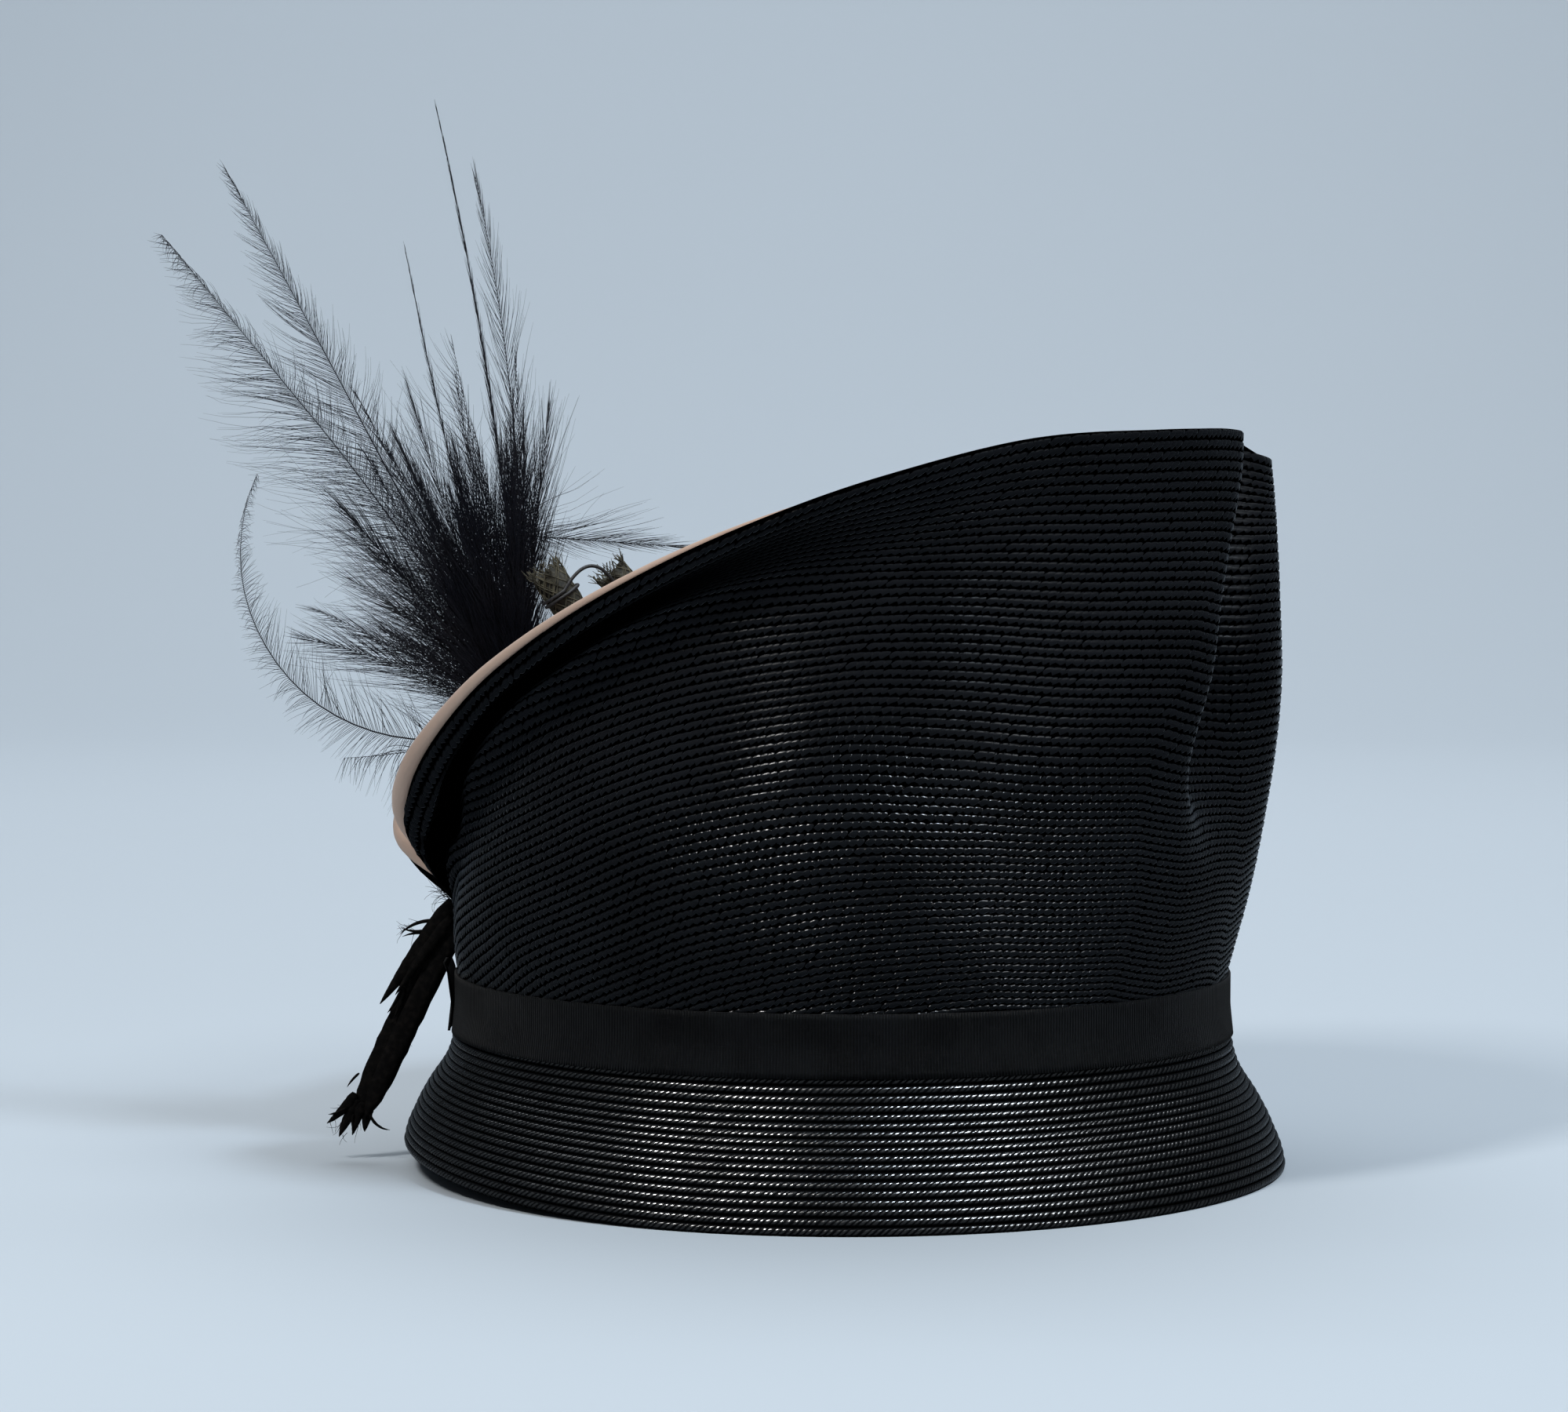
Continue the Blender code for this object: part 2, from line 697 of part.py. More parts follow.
def ragged_tail(finish):
    """The frayed strip that hangs from a knot just outside the notch."""
    seat, normal, _ = wall_frame(NOTCH_AT, 1 - TAIL_BELOW / edging(NOTCH_AT)[0])
    foot = seat + normal * (TAIL_HEAD_RADIUS + GAP * 2)
    head = (Vector((0, 0, -1)), TAIL_HEAD_RADIUS, TAIL_HEAD_HEIGHT)
    size = (TAIL_LENGTH, TAIL_BREADTH, TAIL_THICKNESS, STRIP_SHAPE)
    return spray("ragged_tail", foot, head, TAIL, size, finish)


def stem_axis(row):
    """A stem's foot, just clear of the crown, and its direction."""
    direction = leaning(row["lean"], row["tilt"])
    low, high = 0.5, 1.0
    for _ in range(30):
        middle = (low + high) / 2
        low, high = (middle, high) if crown_reach(middle) > row["reach"] else (low, middle)
    seat = crown_point(row["angle"], low)
    up = crown_point(row["angle"], low + NUDGE) - crown_point(row["angle"], low - NUDGE)
    normal = Vector((-seat.y, seat.x, 0.0)).cross(up).normalized()
    clear = (STEM_RADIUS * normal.cross(direction).length + GAP * 2) / normal.dot(direction)
    return seat + direction * clear, direction


def flower_stem(number, row, finish):
    """A tube of stiffened cloth, open at its top."""
    foot, direction = stem_axis(row)
    length = STEM_LENGTH * row["length"]
    bore = STEM_RADIUS - STEM_WALL
    profile = [
        (0.0, 0.0),
        (STEM_RADIUS * STEM_TAPER, 0.0),
        (STEM_RADIUS, length),
        (bore, length),
        (bore * STEM_TAPER, length - STEM_HOLLOW),
        (0.0, length - STEM_HOLLOW),
    ]
    return turned_solid(f"flower_stem_{number}", foot, direction, profile, finish)


def wire_route():
    """Round the first stem, off it at a tangent, and over in an arch to the side of the second."""
    (foot, direction), (other, heading) = (stem_axis(row) for row in STEMS)
    bend = STEM_RADIUS + GAP + WIRE_RADIUS
    centre = foot + direction * STEM_LENGTH * WIRE_AT
    target = other + heading * STEM_LENGTH * WIRE_END_AT
    toward = (target - centre) - direction * (target - centre).dot(direction)
    toward.normalize()
    across = direction.cross(toward)
    steps = round(WIRE_STEPS * WIRE_TURNS)
    points = []
    for k in range(steps + 1):
        turn = math.tau * (WIRE_TURNS * (k / steps - 1) - 0.25)
        climb = direction * WIRE_RADIUS * WIRE_PITCH * k / steps
        points.append(centre + climb + (toward * math.cos(turn) + across * math.sin(turn)) * bend)
    start = points[-1]
    beside = (start - target) - heading * (start - target).dot(heading)
    finish = target + beside.normalized() * bend
    for k in range(1, WIRE_STEPS):
        t = k / (WIRE_STEPS - 1)
        points.append(start.lerp(finish, t) + Vector((0, 0, WIRE_ARCH)) * 4 * t * (1 - t))
    return points


def stem_wire(finish):
    """The thin wire that ties the stems together."""
    curve = bpy.data.curves.new("stem_wire", "CURVE")
    curve.dimensions = "3D"
    curve.bevel_depth = WIRE_RADIUS
    curve.bevel_resolution = 1
    curve.use_fill_caps = True
    route = wire_route()
    spline = curve.splines.new("POLY")
    spline.points.add(len(route) - 1)
    for place, point in zip(spline.points, route):
        place.co = (*point, 1.0)
    curve.materials.append(finish)
    obj = bpy.data.objects.new("stem_wire", curve)
    bpy.context.scene.collection.objects.link(obj)
    return obj


def stand_on_origin(pieces):
    """Moves the whole hat so that the middle of its box stands on the origin."""
    bpy.context.view_layer.update()
    corners = [Vector(c) for piece in pieces for c in piece.bound_box]
    low = Vector(min(c[i] for c in corners) for i in range(3))
    high = Vector(max(c[i] for c in corners) for i in range(3))
    for piece in pieces:
        piece.location = (-(low.x + high.x) / 2, -(low.y + high.y) / 2, -low.z)


def main():
    for obj in list(bpy.data.objects):
        bpy.data.objects.remove(obj)
    straw = material("black_straw", (0.012, 0.013, 0.015), 0.32)
    ribbon = material("black_ribbon", (0.014, 0.015, 0.018), 0.45)
    cloth = material("peach_cloth", (0.60, 0.40, 0.29), 0.85)
    feather = material("black_feather", (0.018, 0.020, 0.030), 0.60)
    buckram = material("olive_buckram", (0.085, 0.075, 0.045), 0.90)
    wire = material("dark_wire", (0.06, 0.06, 0.06), 0.40)
    fibre = material("frayed_fibre", (0.010, 0.008, 0.007), 0.70)
    pieces = [
        lower_brim(straw),
        upturned_brim(straw),
        brim_facing(cloth),
        ribbon_band(ribbon),
        ribbon_tab(ribbon),
        crown(straw),
        plume(feather),
        ragged_tail(fibre),
        *(flower_stem(k + 1, row, buckram) for k, row in enumerate(STEMS)),
        stem_wire(wire),
    ]
    stand_on_origin(pieces)


main()
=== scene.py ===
"""A black braided straw hat: the finished look of its straw, cloth, ribbon, feathers and wire.

The forms repeat the named sizes of the hat's solids, so every piece lies where its solid does.
Metres, +Z up, -X is the front with its notch, and -Y faces the camera.
"""

import math

import bmesh
import bpy
import numpy as np
from bpy.props import FloatProperty, FloatVectorProperty, IntProperty, PointerProperty
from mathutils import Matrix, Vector


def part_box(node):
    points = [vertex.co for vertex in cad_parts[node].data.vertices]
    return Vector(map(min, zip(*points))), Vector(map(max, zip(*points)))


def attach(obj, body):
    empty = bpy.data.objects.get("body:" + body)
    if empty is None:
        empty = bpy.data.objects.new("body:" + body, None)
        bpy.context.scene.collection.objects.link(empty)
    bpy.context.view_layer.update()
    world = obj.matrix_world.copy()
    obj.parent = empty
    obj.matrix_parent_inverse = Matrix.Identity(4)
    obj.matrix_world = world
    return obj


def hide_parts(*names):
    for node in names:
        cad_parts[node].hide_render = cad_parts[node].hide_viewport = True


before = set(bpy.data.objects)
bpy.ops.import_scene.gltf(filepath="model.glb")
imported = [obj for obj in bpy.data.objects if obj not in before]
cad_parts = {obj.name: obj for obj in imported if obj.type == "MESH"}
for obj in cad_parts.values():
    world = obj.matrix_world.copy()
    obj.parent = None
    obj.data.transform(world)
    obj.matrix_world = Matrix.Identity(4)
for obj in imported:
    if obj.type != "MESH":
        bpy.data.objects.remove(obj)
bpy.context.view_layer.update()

bl_info = {
    "name": "Braided Straw Hat",
    "version": (1, 0, 0),
    "blender": (4, 5, 0),
    "location": "View3D > Sidebar > Straw Hat",
    "description": "Builds a braided straw hat with a ribbon, a cloth facing and a feather plume",
    "category": "Object",
}

# The solids' own sizes
STRAW = 0.0015
GAP = 0.0003
HEAD_LENGTH = 0.2005
HEAD_WIDTH = 0.1700
FLARE_HEIGHT = 0.0420
FLARE_AT_BACK = 0.0150
FLARE_AT_FRONT = 0.0138
FLARE_AT_SIDES = 0.0200
FRONT_LIFT = 0.0060
FRONT_LIFT_SPAN = 75.0
WALL_FOOT = 0.0085
WALL_RISE = 0.1480
LOW_UP = 0.42
WALL_BULGE = 0.0155
LIP_FLARE = 0.0185
BACK_LOBE_DROP = 0.0065
BACK_LOBE_AT = 19.0
BACK_LOBE_SPAN = 18.0
FAR_SIDE_DROP = 0.0150
FAR_SIDE_AT = 103.0
FAR_SIDE_SPAN = 46.0
CORNER_DROP = 0.0050
CORNER_SPAN = 34.0
NOTCH_AT = -176.0
CREASE_AT = -10.0
CREASE_FOOT_AT = -27.0
CREASE_SWAY = 2.9
CREASE_SPAN = 28.0
CREASE_TURN = 86.0
CREASE_NARROWING = 0.5
CREASE_FOOT = 0.20
CREASE_FULL = 0.64
FOLD_STEPS = 24
FACING = 0.0010
FACING_FOOT = 0.0180
ROLL_RADIUS = 0.0031
ROLL_PROUD = 0.0016
ROLL_SUNK = 0.0016
RIBBON = 0.0007
RIBBON_ABOVE = 0.0080
RIBBON_BELOW = 0.0075
TAB_SPAN = 10.0
TAB_ABOVE = 0.0035
TAB_STAND = 0.0020
CROWN_HEIGHT = 0.0840
CROWN_FOOT = 0.0020
PLUME_LENGTH = 0.1620
PLUME_HEAD_RADIUS = 0.0045
PLUME_HEAD_HEIGHT = 0.0340
PLUME_HEAD_TAPER = 0.8
PLUME_FOOT = 0.0460
PLUME_LEAN = -19.0
SPRAY_FROM = 0.8
STEM_RADIUS = 0.0042
STEM_WALL = 0.0010
STEM_LENGTH = 0.0430
STEM_HOLLOW = 0.0140
STEM_TAPER = 0.85
WIRE_RADIUS = 0.00045
WIRE_TURNS = 1.25
WIRE_PITCH = 3.0
WIRE_AT = 0.80

# What the photo shows beside them: the edge's reach beyond the notch, and the wire's arch
FAR_LIP = 0.0047
FAR_LIP_AT = 178.5
FAR_LIP_SPAN = 7.0
WIRE_END_AT = 0.62
WIRE_ARCH = 0.0095

# The solids stand with the middle of their box on the origin
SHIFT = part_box("lower_brim")[0].x + HEAD_LENGTH / 2 + FLARE_AT_FRONT

# How near points are when they are one
MERGED = 1e-6


def table(names, *rows):
    """Columns of numbers under their names."""
    return {name: np.array([row[k] for row in rows]) for k, name in enumerate(names.split())}


def rows_of(columns):
    """A table's rows, each with its numbers by name."""
    names = list(columns)
    return [dict(zip(names, map(float, row))) for row in zip(*columns.values())]


# The turned-up brim's columns from the back to the notch, as in its solid but for a slimmer roll
WALL = table(
    "angle rise  low   belly belly_up neck  neck_up lip   roll",
    (0, 1.000, 0.46, 0.80, 0.58, 0.80, 0.92, 0.66, -0.12),
    (20, 1.000, 0.48, 0.86, 0.56, 0.74, 0.89, 0.58, -0.12),
    (40, 1.004, 0.54, 0.96, 0.52, 0.66, 0.84, 0.46, -0.12),
    (60, 1.000, 0.52, 0.95, 0.48, 0.50, 0.80, 0.46, -0.12),
    (80, 0.982, 0.52, 0.92, 0.46, 0.40, 0.81, 0.58, -0.12),
    (97, 0.918, 0.50, 0.88, 0.46, 0.34, 0.82, 0.76, -0.10),
    (110, 0.840, 0.46, 0.78, 0.46, 0.32, 0.82, 0.86, 0.15),
    (125, 0.727, 0.38, 0.60, 0.46, 0.26, 0.82, 0.92, 0.31),
    (140, 0.600, 0.28, 0.42, 0.48, 0.22, 0.83, 0.95, 0.48),
    (150, 0.498, 0.18, 0.28, 0.50, 0.18, 0.85, 0.96, 0.62),
    (160, 0.396, 0.10, 0.16, 0.52, 0.14, 0.87, 0.95, 0.85),
    (168, 0.316, 0.06, 0.10, 0.54, 0.10, 0.87, 0.82, 0.95),
    (174, 0.252, 0.04, 0.07, 0.55, 0.08, 0.87, 0.50, 0.95),
    (180, 0.188, 0.03, 0.05, 0.56, 0.06, 0.87, 0.08, 0.80),
)
FLARE = table("down out", (0, 0), (0.20, 0.06), (0.40, 0.23), (0.56, 0.52), (0.74, 0.78), (1, 1))
CROWN = table(
    "up reach",
    (0, 1), (0.10, 1), (0.16, 0.962), (0.36, 0.935),
    (0.58, 0.875), (0.76, 0.770), (0.89, 0.600), (0.97, 0.360),
)


def mix(a, b, share):
    return a + (b - a) * share


def smooth(share):
    """0 to 1 with level ends."""
    share = np.clip(share, 0.0, 1.0)
    return share * share * (3 - 2 * share)


def turned(angle):
    """The same direction, between -180 and 180."""
    return (angle + 180.0) % 360.0 - 180.0


def from_back(angles):
    """How far round from the back, both ways, as the tables are laid out."""
    return 180.0 - np.abs(turned(angles - NOTCH_AT))


def hump(angle, middle, span):
    """1 at an angle, falling to 0 at a span to either side."""
    return 1 - smooth(np.abs(turned(angle - middle)) / span)


def read(rows, key, value, column):
    """A table's column at any values of its key, on a line with no corners."""
    keys, values = rows[key], rows[column]
    place = np.clip(np.searchsorted(keys, value, side="right") - 1, 0, len(keys) - 2)
    slopes = np.zeros(len(keys))
    slopes[1:-1] = (values[2:] - values[:-2]) / (keys[2:] - keys[:-2])
    span = keys[place + 1] - keys[place]
    t = (value - keys[place]) / span
    return (
        (2 * t**3 - 3 * t**2 + 1) * values[place]
        + (t**3 - 2 * t**2 + t) * span * slopes[place]
        + (3 * t**2 - 2 * t**3) * values[place + 1]
        + (t**3 - t**2) * span * slopes[place + 1]
    )


def gone_along(points):
    """The distance gone along a line of points, from its start to each."""
    return np.concatenate([[0], np.cumsum(np.linalg.norm(np.diff(points, axis=0), axis=1))])


def oval(angle, out=0.0):
    """Points in plan, out from the head oval at an angle."""
    along, across = HEAD_LENGTH / 2, HEAD_WIDTH / 2
    c, s = np.cos(np.radians(angle)), np.sin(np.radians(angle))
    nx, ny = c / along, s / across
    size = np.hypot(nx, ny)
    return along * c + out * nx / size + SHIFT, across * s + out * ny / size


def flare_out(angle, down):
    """How far the lower brim stands out of the oval at a share of its height."""
    backward = (1 + np.cos(np.radians(angle))) / 2
    sideways = np.sin(np.radians(angle)) ** 2
    ends = mix(FLARE_AT_FRONT, FLARE_AT_BACK, backward)
    return mix(ends, FLARE_AT_SIDES, sideways) * np.interp(down, FLARE["down"], FLARE["out"])


def front_share(angle):
    """1 at the front, falling to 0 where the lower brim meets the floor."""
    return smooth((np.abs(turned(angle)) - 180.0 + FRONT_LIFT_SPAN) / FRONT_LIFT_SPAN)


def fold_walk(reach, turn, narrow):
    """How far round, and how far in, a fold's cloth has gone after a reach from its middle."""
    along = np.zeros(np.broadcast(reach, turn).shape)
    depth = along.copy()
    for k in range(FOLD_STEPS):
        heading = turn * np.sin(math.pi * (k + 0.5) / FOLD_STEPS * reach / CREASE_SPAN)
        along += narrow * np.cos(heading) * reach / FOLD_STEPS
        depth += narrow * np.sin(heading) * reach / FOLD_STEPS
    return along, depth


def creased(angle, share):
    """Where columns of the wall stand on the plain oval, and how deep they are folded in."""
    swing = smooth((share - CREASE_FOOT) / (CREASE_FULL - CREASE_FOOT))
    middle = mix(CREASE_FOOT_AT, CREASE_AT, smooth(np.clip(share, 0, None) ** CREASE_SWAY))
    narrow = mix(CREASE_NARROWING, 1.0, swing)
    turn = math.radians(CREASE_TURN) * swing
    off = turned(angle - CREASE_AT) + 0 * share
    side = np.sign(off) + (off == 0)
    gape, deepest = fold_walk(CREASE_SPAN + 0 * share, turn, narrow)
    along, depth = fold_walk(np.minimum(np.abs(off), CREASE_SPAN), turn, narrow)
    outside = (np.abs(off) - CREASE_SPAN) / (180.0 - CREASE_SPAN)
    beyond = mix(middle + side * gape, CREASE_AT + side * 180.0, outside)
    inside = np.abs(off) < CREASE_SPAN
    plain = np.where(inside, middle + side * along, beyond)
    return plain, np.where(inside, (deepest - depth) * math.radians(HEAD_WIDTH / 2), 0.0)


def lobe_drop(angles):
    """How far the rim falls at the two lobes beside the crease."""
    corner = CORNER_DROP * hump(angles, CREASE_AT, CORNER_SPAN)
    return corner + BACK_LOBE_DROP * hump(angles, BACK_LOBE_AT, BACK_LOBE_SPAN)


def wall_lines(angles, steps=40):
    """The wall's columns as polylines of (out, up) from foot to edge, and their lengths so far."""
    row = {name: read(WALL, "angle", from_back(angles), name) for name in WALL}
    rise = WALL_RISE * row["rise"]
    rise = rise - FAR_SIDE_DROP * hump(angles, FAR_SIDE_AT, FAR_SIDE_SPAN) - lobe_drop(angles)
    belly_up = rise * row["belly_up"]
    zero = 0 * rise
    points = [
        (zero, zero + WALL_FOOT),
        (WALL_BULGE * row["low"], mix(WALL_FOOT, belly_up, LOW_UP)),
        (WALL_BULGE * row["belly"], belly_up),
        (WALL_BULGE * row["neck"], rise * row["neck_up"]),
        (LIP_FLARE * row["lip"] + FAR_LIP * hump(angles, FAR_LIP_AT, FAR_LIP_SPAN), rise),
    ]
    points = np.array(points).transpose(0, 2, 1)
    ends = np.concatenate([[2 * points[0] - points[1]], points, [2 * points[-1] - points[-2]]])
    line = [np.stack([zero, zero], 1)]
    for k in range(steps + 1):
        t = k / steps * (len(points) - 1)
        i = min(int(t), len(points) - 2)
        t -= i
        a, b, c, d = ends[i : i + 4]
        bow = 2 * a - 5 * b + 4 * c - d
        twist = 3 * b - a - 3 * c + d
        line.append((2 * b + (c - a) * t + bow * t**2 + twist * t**3) / 2)
    line = np.stack(line, 1)
    steps_up = np.cumsum(np.linalg.norm(np.diff(line, axis=1), axis=2), 1)
    return line, np.concatenate([0 * rise[:, None], steps_up], 1)


def wall_points(angles, lines, reaches, lengths):
    """The wall's outside, at lengths from the foot for each column: an array (column, level, xyz)."""
    out, up = (
        np.stack([np.interp(far, reach, line[:, k]) for far, reach, line in zip(lengths, reaches, lines)])
        for k in (0, 1)
    )
    plain, inward = creased(angles[:, None], up / WALL_RISE)
    x, y = oval(plain, out)
    return np.stack([x - inward, y, up + FLARE_HEIGHT], 2)


def wall_normals(angles, lines, reaches, lengths):
    """Outward normals of the wall and its rising directions, at the same places."""
    turn, step = 0.3, 0.0006
    top = reaches[:, -1:]

    def beside(angles):
        lines, near = wall_lines(angles)
        return wall_points(angles, lines, near, lengths * (near[:, -1:] / top))

    across = beside(angles + turn) - beside(angles - turn)
    rising = wall_points(angles, lines, reaches, np.minimum(lengths + step, top))
    rising = rising - wall_points(angles, lines, reaches, np.maximum(lengths - step, 0))
    normal = np.cross(across, rising)
    return tuple(way / np.linalg.norm(way, axis=2, keepdims=True) for way in (normal, rising))


def wall_angles(count):
    """The wall's columns round from the notch, closer together at the crease and the notch."""
    fine = np.linspace(0, 360, 4001)[:-1] + NOTCH_AT
    weight = 1 + 1.6 * hump(fine, CREASE_AT, CREASE_SPAN + 8) + 1.5 * hump(fine, NOTCH_AT, 20)
    place = np.concatenate([[0], np.cumsum(weight)])
    return np.interp(np.arange(count), place / place[-1] * count, np.append(fine, NOTCH_AT + 360))


def quads(rows, sides, order, closed=True):
    """Faces between rows of points, each row a ring: i and j are rows, k and m places in a ring."""
    i, k = np.meshgrid(np.arange(rows if closed else rows - 1), np.arange(sides), indexing="ij")
    at = {"i": i * sides, "j": (i + 1) % rows * sides, "k": k, "m": (k + 1) % sides}
    return np.stack([at[row] + at[place] for row, place in order.split()], 2).reshape(-1, 4)


def new_mesh(name, points, faces, corner_uv=None, uv_name="braid"):
    """A mesh object from arrays."""
    mesh = bpy.data.meshes.new(name)
    mesh.from_pydata([tuple(p) for p in points], [], [tuple(f) for f in faces])
    if corner_uv is not None:
        layer = mesh.uv_layers.new(name=uv_name)
        layer.data.foreach_set("uv", np.asarray(corner_uv, dtype=np.float32).ravel())
    mesh.shade_smooth()
    obj = bpy.data.objects.new(name, mesh)
    bpy.context.scene.collection.objects.link(obj)
    return obj


def mended(obj, fill=False, merge=False, outward=True):
    """Closes a mesh's holes, joins its doubles and turns its faces outwards, as asked."""
    shape = bmesh.new()
    shape.from_mesh(obj.data)
    if fill:
        bmesh.ops.holes_fill(shape, edges=shape.edges)
    if merge:
        bmesh.ops.delete(shape, geom=[v for v in shape.verts if not v.link_faces], context="VERTS")
        bmesh.ops.remove_doubles(shape, verts=shape.verts, dist=MERGED)
    if outward:
        bmesh.ops.recalc_face_normals(shape, faces=shape.faces)
    shape.to_mesh(obj.data)
    shape.free()
    return obj


# Braid: where a row's levels stand
ROW_LEVELS = (0.0, 0.16, 0.50, 0.84)

# The rows are level again this far below a lobe's lower rim, in millimetres
LEVELLED_BY = 30.0

# Rows that end in the hollow behind the front lip: how many by then, and where below the edge,
# in millimetres, they start and stop doing so, and how many more come in below, by the angle
# from the back
HIDDEN = table(
    "back rows start end more",
    (0, 0.0, 2.0, 60.0, 0.0),
    (55, 0.0, 2.0, 60.0, 1.3),
    (75, 0.8, 2.0, 50.0, 2.4),
    (95, 3.8, 2.0, 27.0, 4.9),
    (105, 6.8, 2.0, 20.0, 4.6),
    (114, 9.6, 4.0, 15.5, 4.2),
    (124, 12.4, 5.0, 12.5, 3.4),
    (134, 15.0, 5.4, 12.0, 2.6),
    (144, 17.4, 5.8, 12.0, 2.2),
    (154, 20.0, 6.4, 13.0, 2.0),
    (164, 23.5, 7.0, 16.5, 2.0),
    (172, 27.0, 2.5, 9.0, 2.0),
    (180, 29.0, 0.5, 3.0, 2.0),
)
MORE_OVER = 85.0

# Nearer than this to the foot, in millimetres, the rows grow finer, by so many a millimetre
FINER_FROM = 70.0
FINER_BY = 0.118
FINER_EASE = 22.0


# The place that the inner side of a braided sheet has on its map, beyond all rows
INNER_PLACE = 900.5

# The rows' reach below the rim of the wall, and their spacing on the flare
WALL_REACH = 0.158
FLARE_PITCH = 0.00225

# How many columns each piece has round it
WALL_COLUMNS = 360
FACING_COLUMNS = 330
FLARE_COLUMNS = 420
CROWN_COLUMNS = 240
RIBBON_COLUMNS = 600

# How far in from the straw's outside the facing lies
FACING_IN = STRAW + GAP

# The crown's dome ends this far short of its middle
CROWN_TIP = 0.0015

# How far along the rim its nearest point is looked for, how far below the foot rows may go, and
# in how many steps
RIM_SEARCH = 0.17
LOWEST = -0.02
RIM_STEPS = 170


def all_round(count):
    """Angles round from the back."""
    return np.linspace(0, 360, count + 1)[:-1]


def row_places(rows):
    """The levels of a number of rows, each as its row and its share of it."""
    return np.array([k + level for k in range(rows) for level in ROW_LEVELS] + [float(rows)])


def braid_rows(pitch, reach_down):
    """Distances from the sewn edge of the levels of all the rows down to a reach, and row places."""
    edges = [0.0]
    while edges[-1] < reach_down:
        edges.append(edges[-1] + mix(pitch * 1.08, pitch * 0.90, min(1.0, edges[-1] / reach_down)))
    places = row_places(len(edges) - 1)
    return np.interp(places, np.arange(len(edges)), edges), places


def rim_distance(angles, lines, reaches, wanted):
    """For each column, the lengths from the foot that lie at the wanted distances from the rim."""
    height = reaches[:, -1]
    middle = wall_points(angles, lines, reaches, height[:, None] * 0.6)[:, 0]
    gone = gone_along(np.append(middle, middle[:1], 0))
    total, around = gone[-1], gone[:-1]
    rim_around = np.concatenate([around - total, around, around + total])
    rim_height = np.tile(height, 3)
    lengths = np.empty((len(angles), len(wanted)))
    for i, (here, top) in enumerate(zip(around, height)):
        near = np.abs(rim_around - here) < RIM_SEARCH
        tried = np.linspace(top, LOWEST, RIM_STEPS)
        far = np.hypot(rim_around[near][None] - here, rim_height[near][None] - tried[:, None])
        away = np.maximum.accumulate(np.min(far, axis=1))
        lengths[i] = np.interp(wanted, away - away[0], tried)
    return lengths


def row_lengths(angles, lines, reaches, pitch, reach_down):
    """For each column, the lengths from the foot of the rows' levels, their places and their relief, which
    also marks the pressed-flat rows that the braid's finish paints dark as shade.
    """
    wanted, places = braid_rows(pitch, reach_down)
    plain = rim_distance(angles, lines, reaches, wanted)
    back = from_back(angles)
    rows, start, end, more = (read(HIDDEN, "back", back, name)[:, None] for name in list(HIDDEN)[1:])
    below = (reaches[:, -1:] - plain) * 1000
    plain = plain + lobe_drop(angles)[:, None] * smooth(below / LEVELLED_BY)
    gone = places + rows * smooth((below - start) / (end - start)) + more * smooth(below / MORE_OVER)
    low = np.maximum(FINER_FROM - plain * 1000, 0)
    gone += FINER_BY * low**2 / (low + FINER_EASE)
    lengths = np.stack([np.interp(places, far, length) for far, length in zip(gone, plain)])
    lengths = np.maximum(lengths, 0.0)
    edges = lengths[:, :: len(ROW_LEVELS)]
    width = np.repeat(edges[:, :-1] - edges[:, 1:], len(ROW_LEVELS), axis=1)
    width = np.concatenate([width, width[:, -1:]], 1)
    return lengths, places, np.clip(width / pitch * 2.0 - 0.4, 0.0, 1.0)


class Number:
    """A number or vector that a node gives, which sums can be written with."""

    def __init__(self, nodes, socket):
        self.nodes, self.socket = nodes, socket

    def __add__(self, other):
        return self.nodes.math("ADD", self, other)

    def __sub__(self, other):
        return self.nodes.math("SUBTRACT", self, other)

    def __rsub__(self, other):
        return self.nodes.math("SUBTRACT", other, self)

    def __mul__(self, other):
        return self.nodes.math("MULTIPLY", self, other)

    def __truediv__(self, other):
        return self.nodes.math("DIVIDE", self, other)

    def __rtruediv__(self, other):
        return self.nodes.math("DIVIDE", other, self)

    def __pow__(self, other):
        return self.nodes.math("POWER", self, other)

    __radd__, __rmul__ = __add__, __mul__

    def clamped(self):
        """The same, held between 0 and 1."""
        self.socket.node.use_clamp = True
        return self


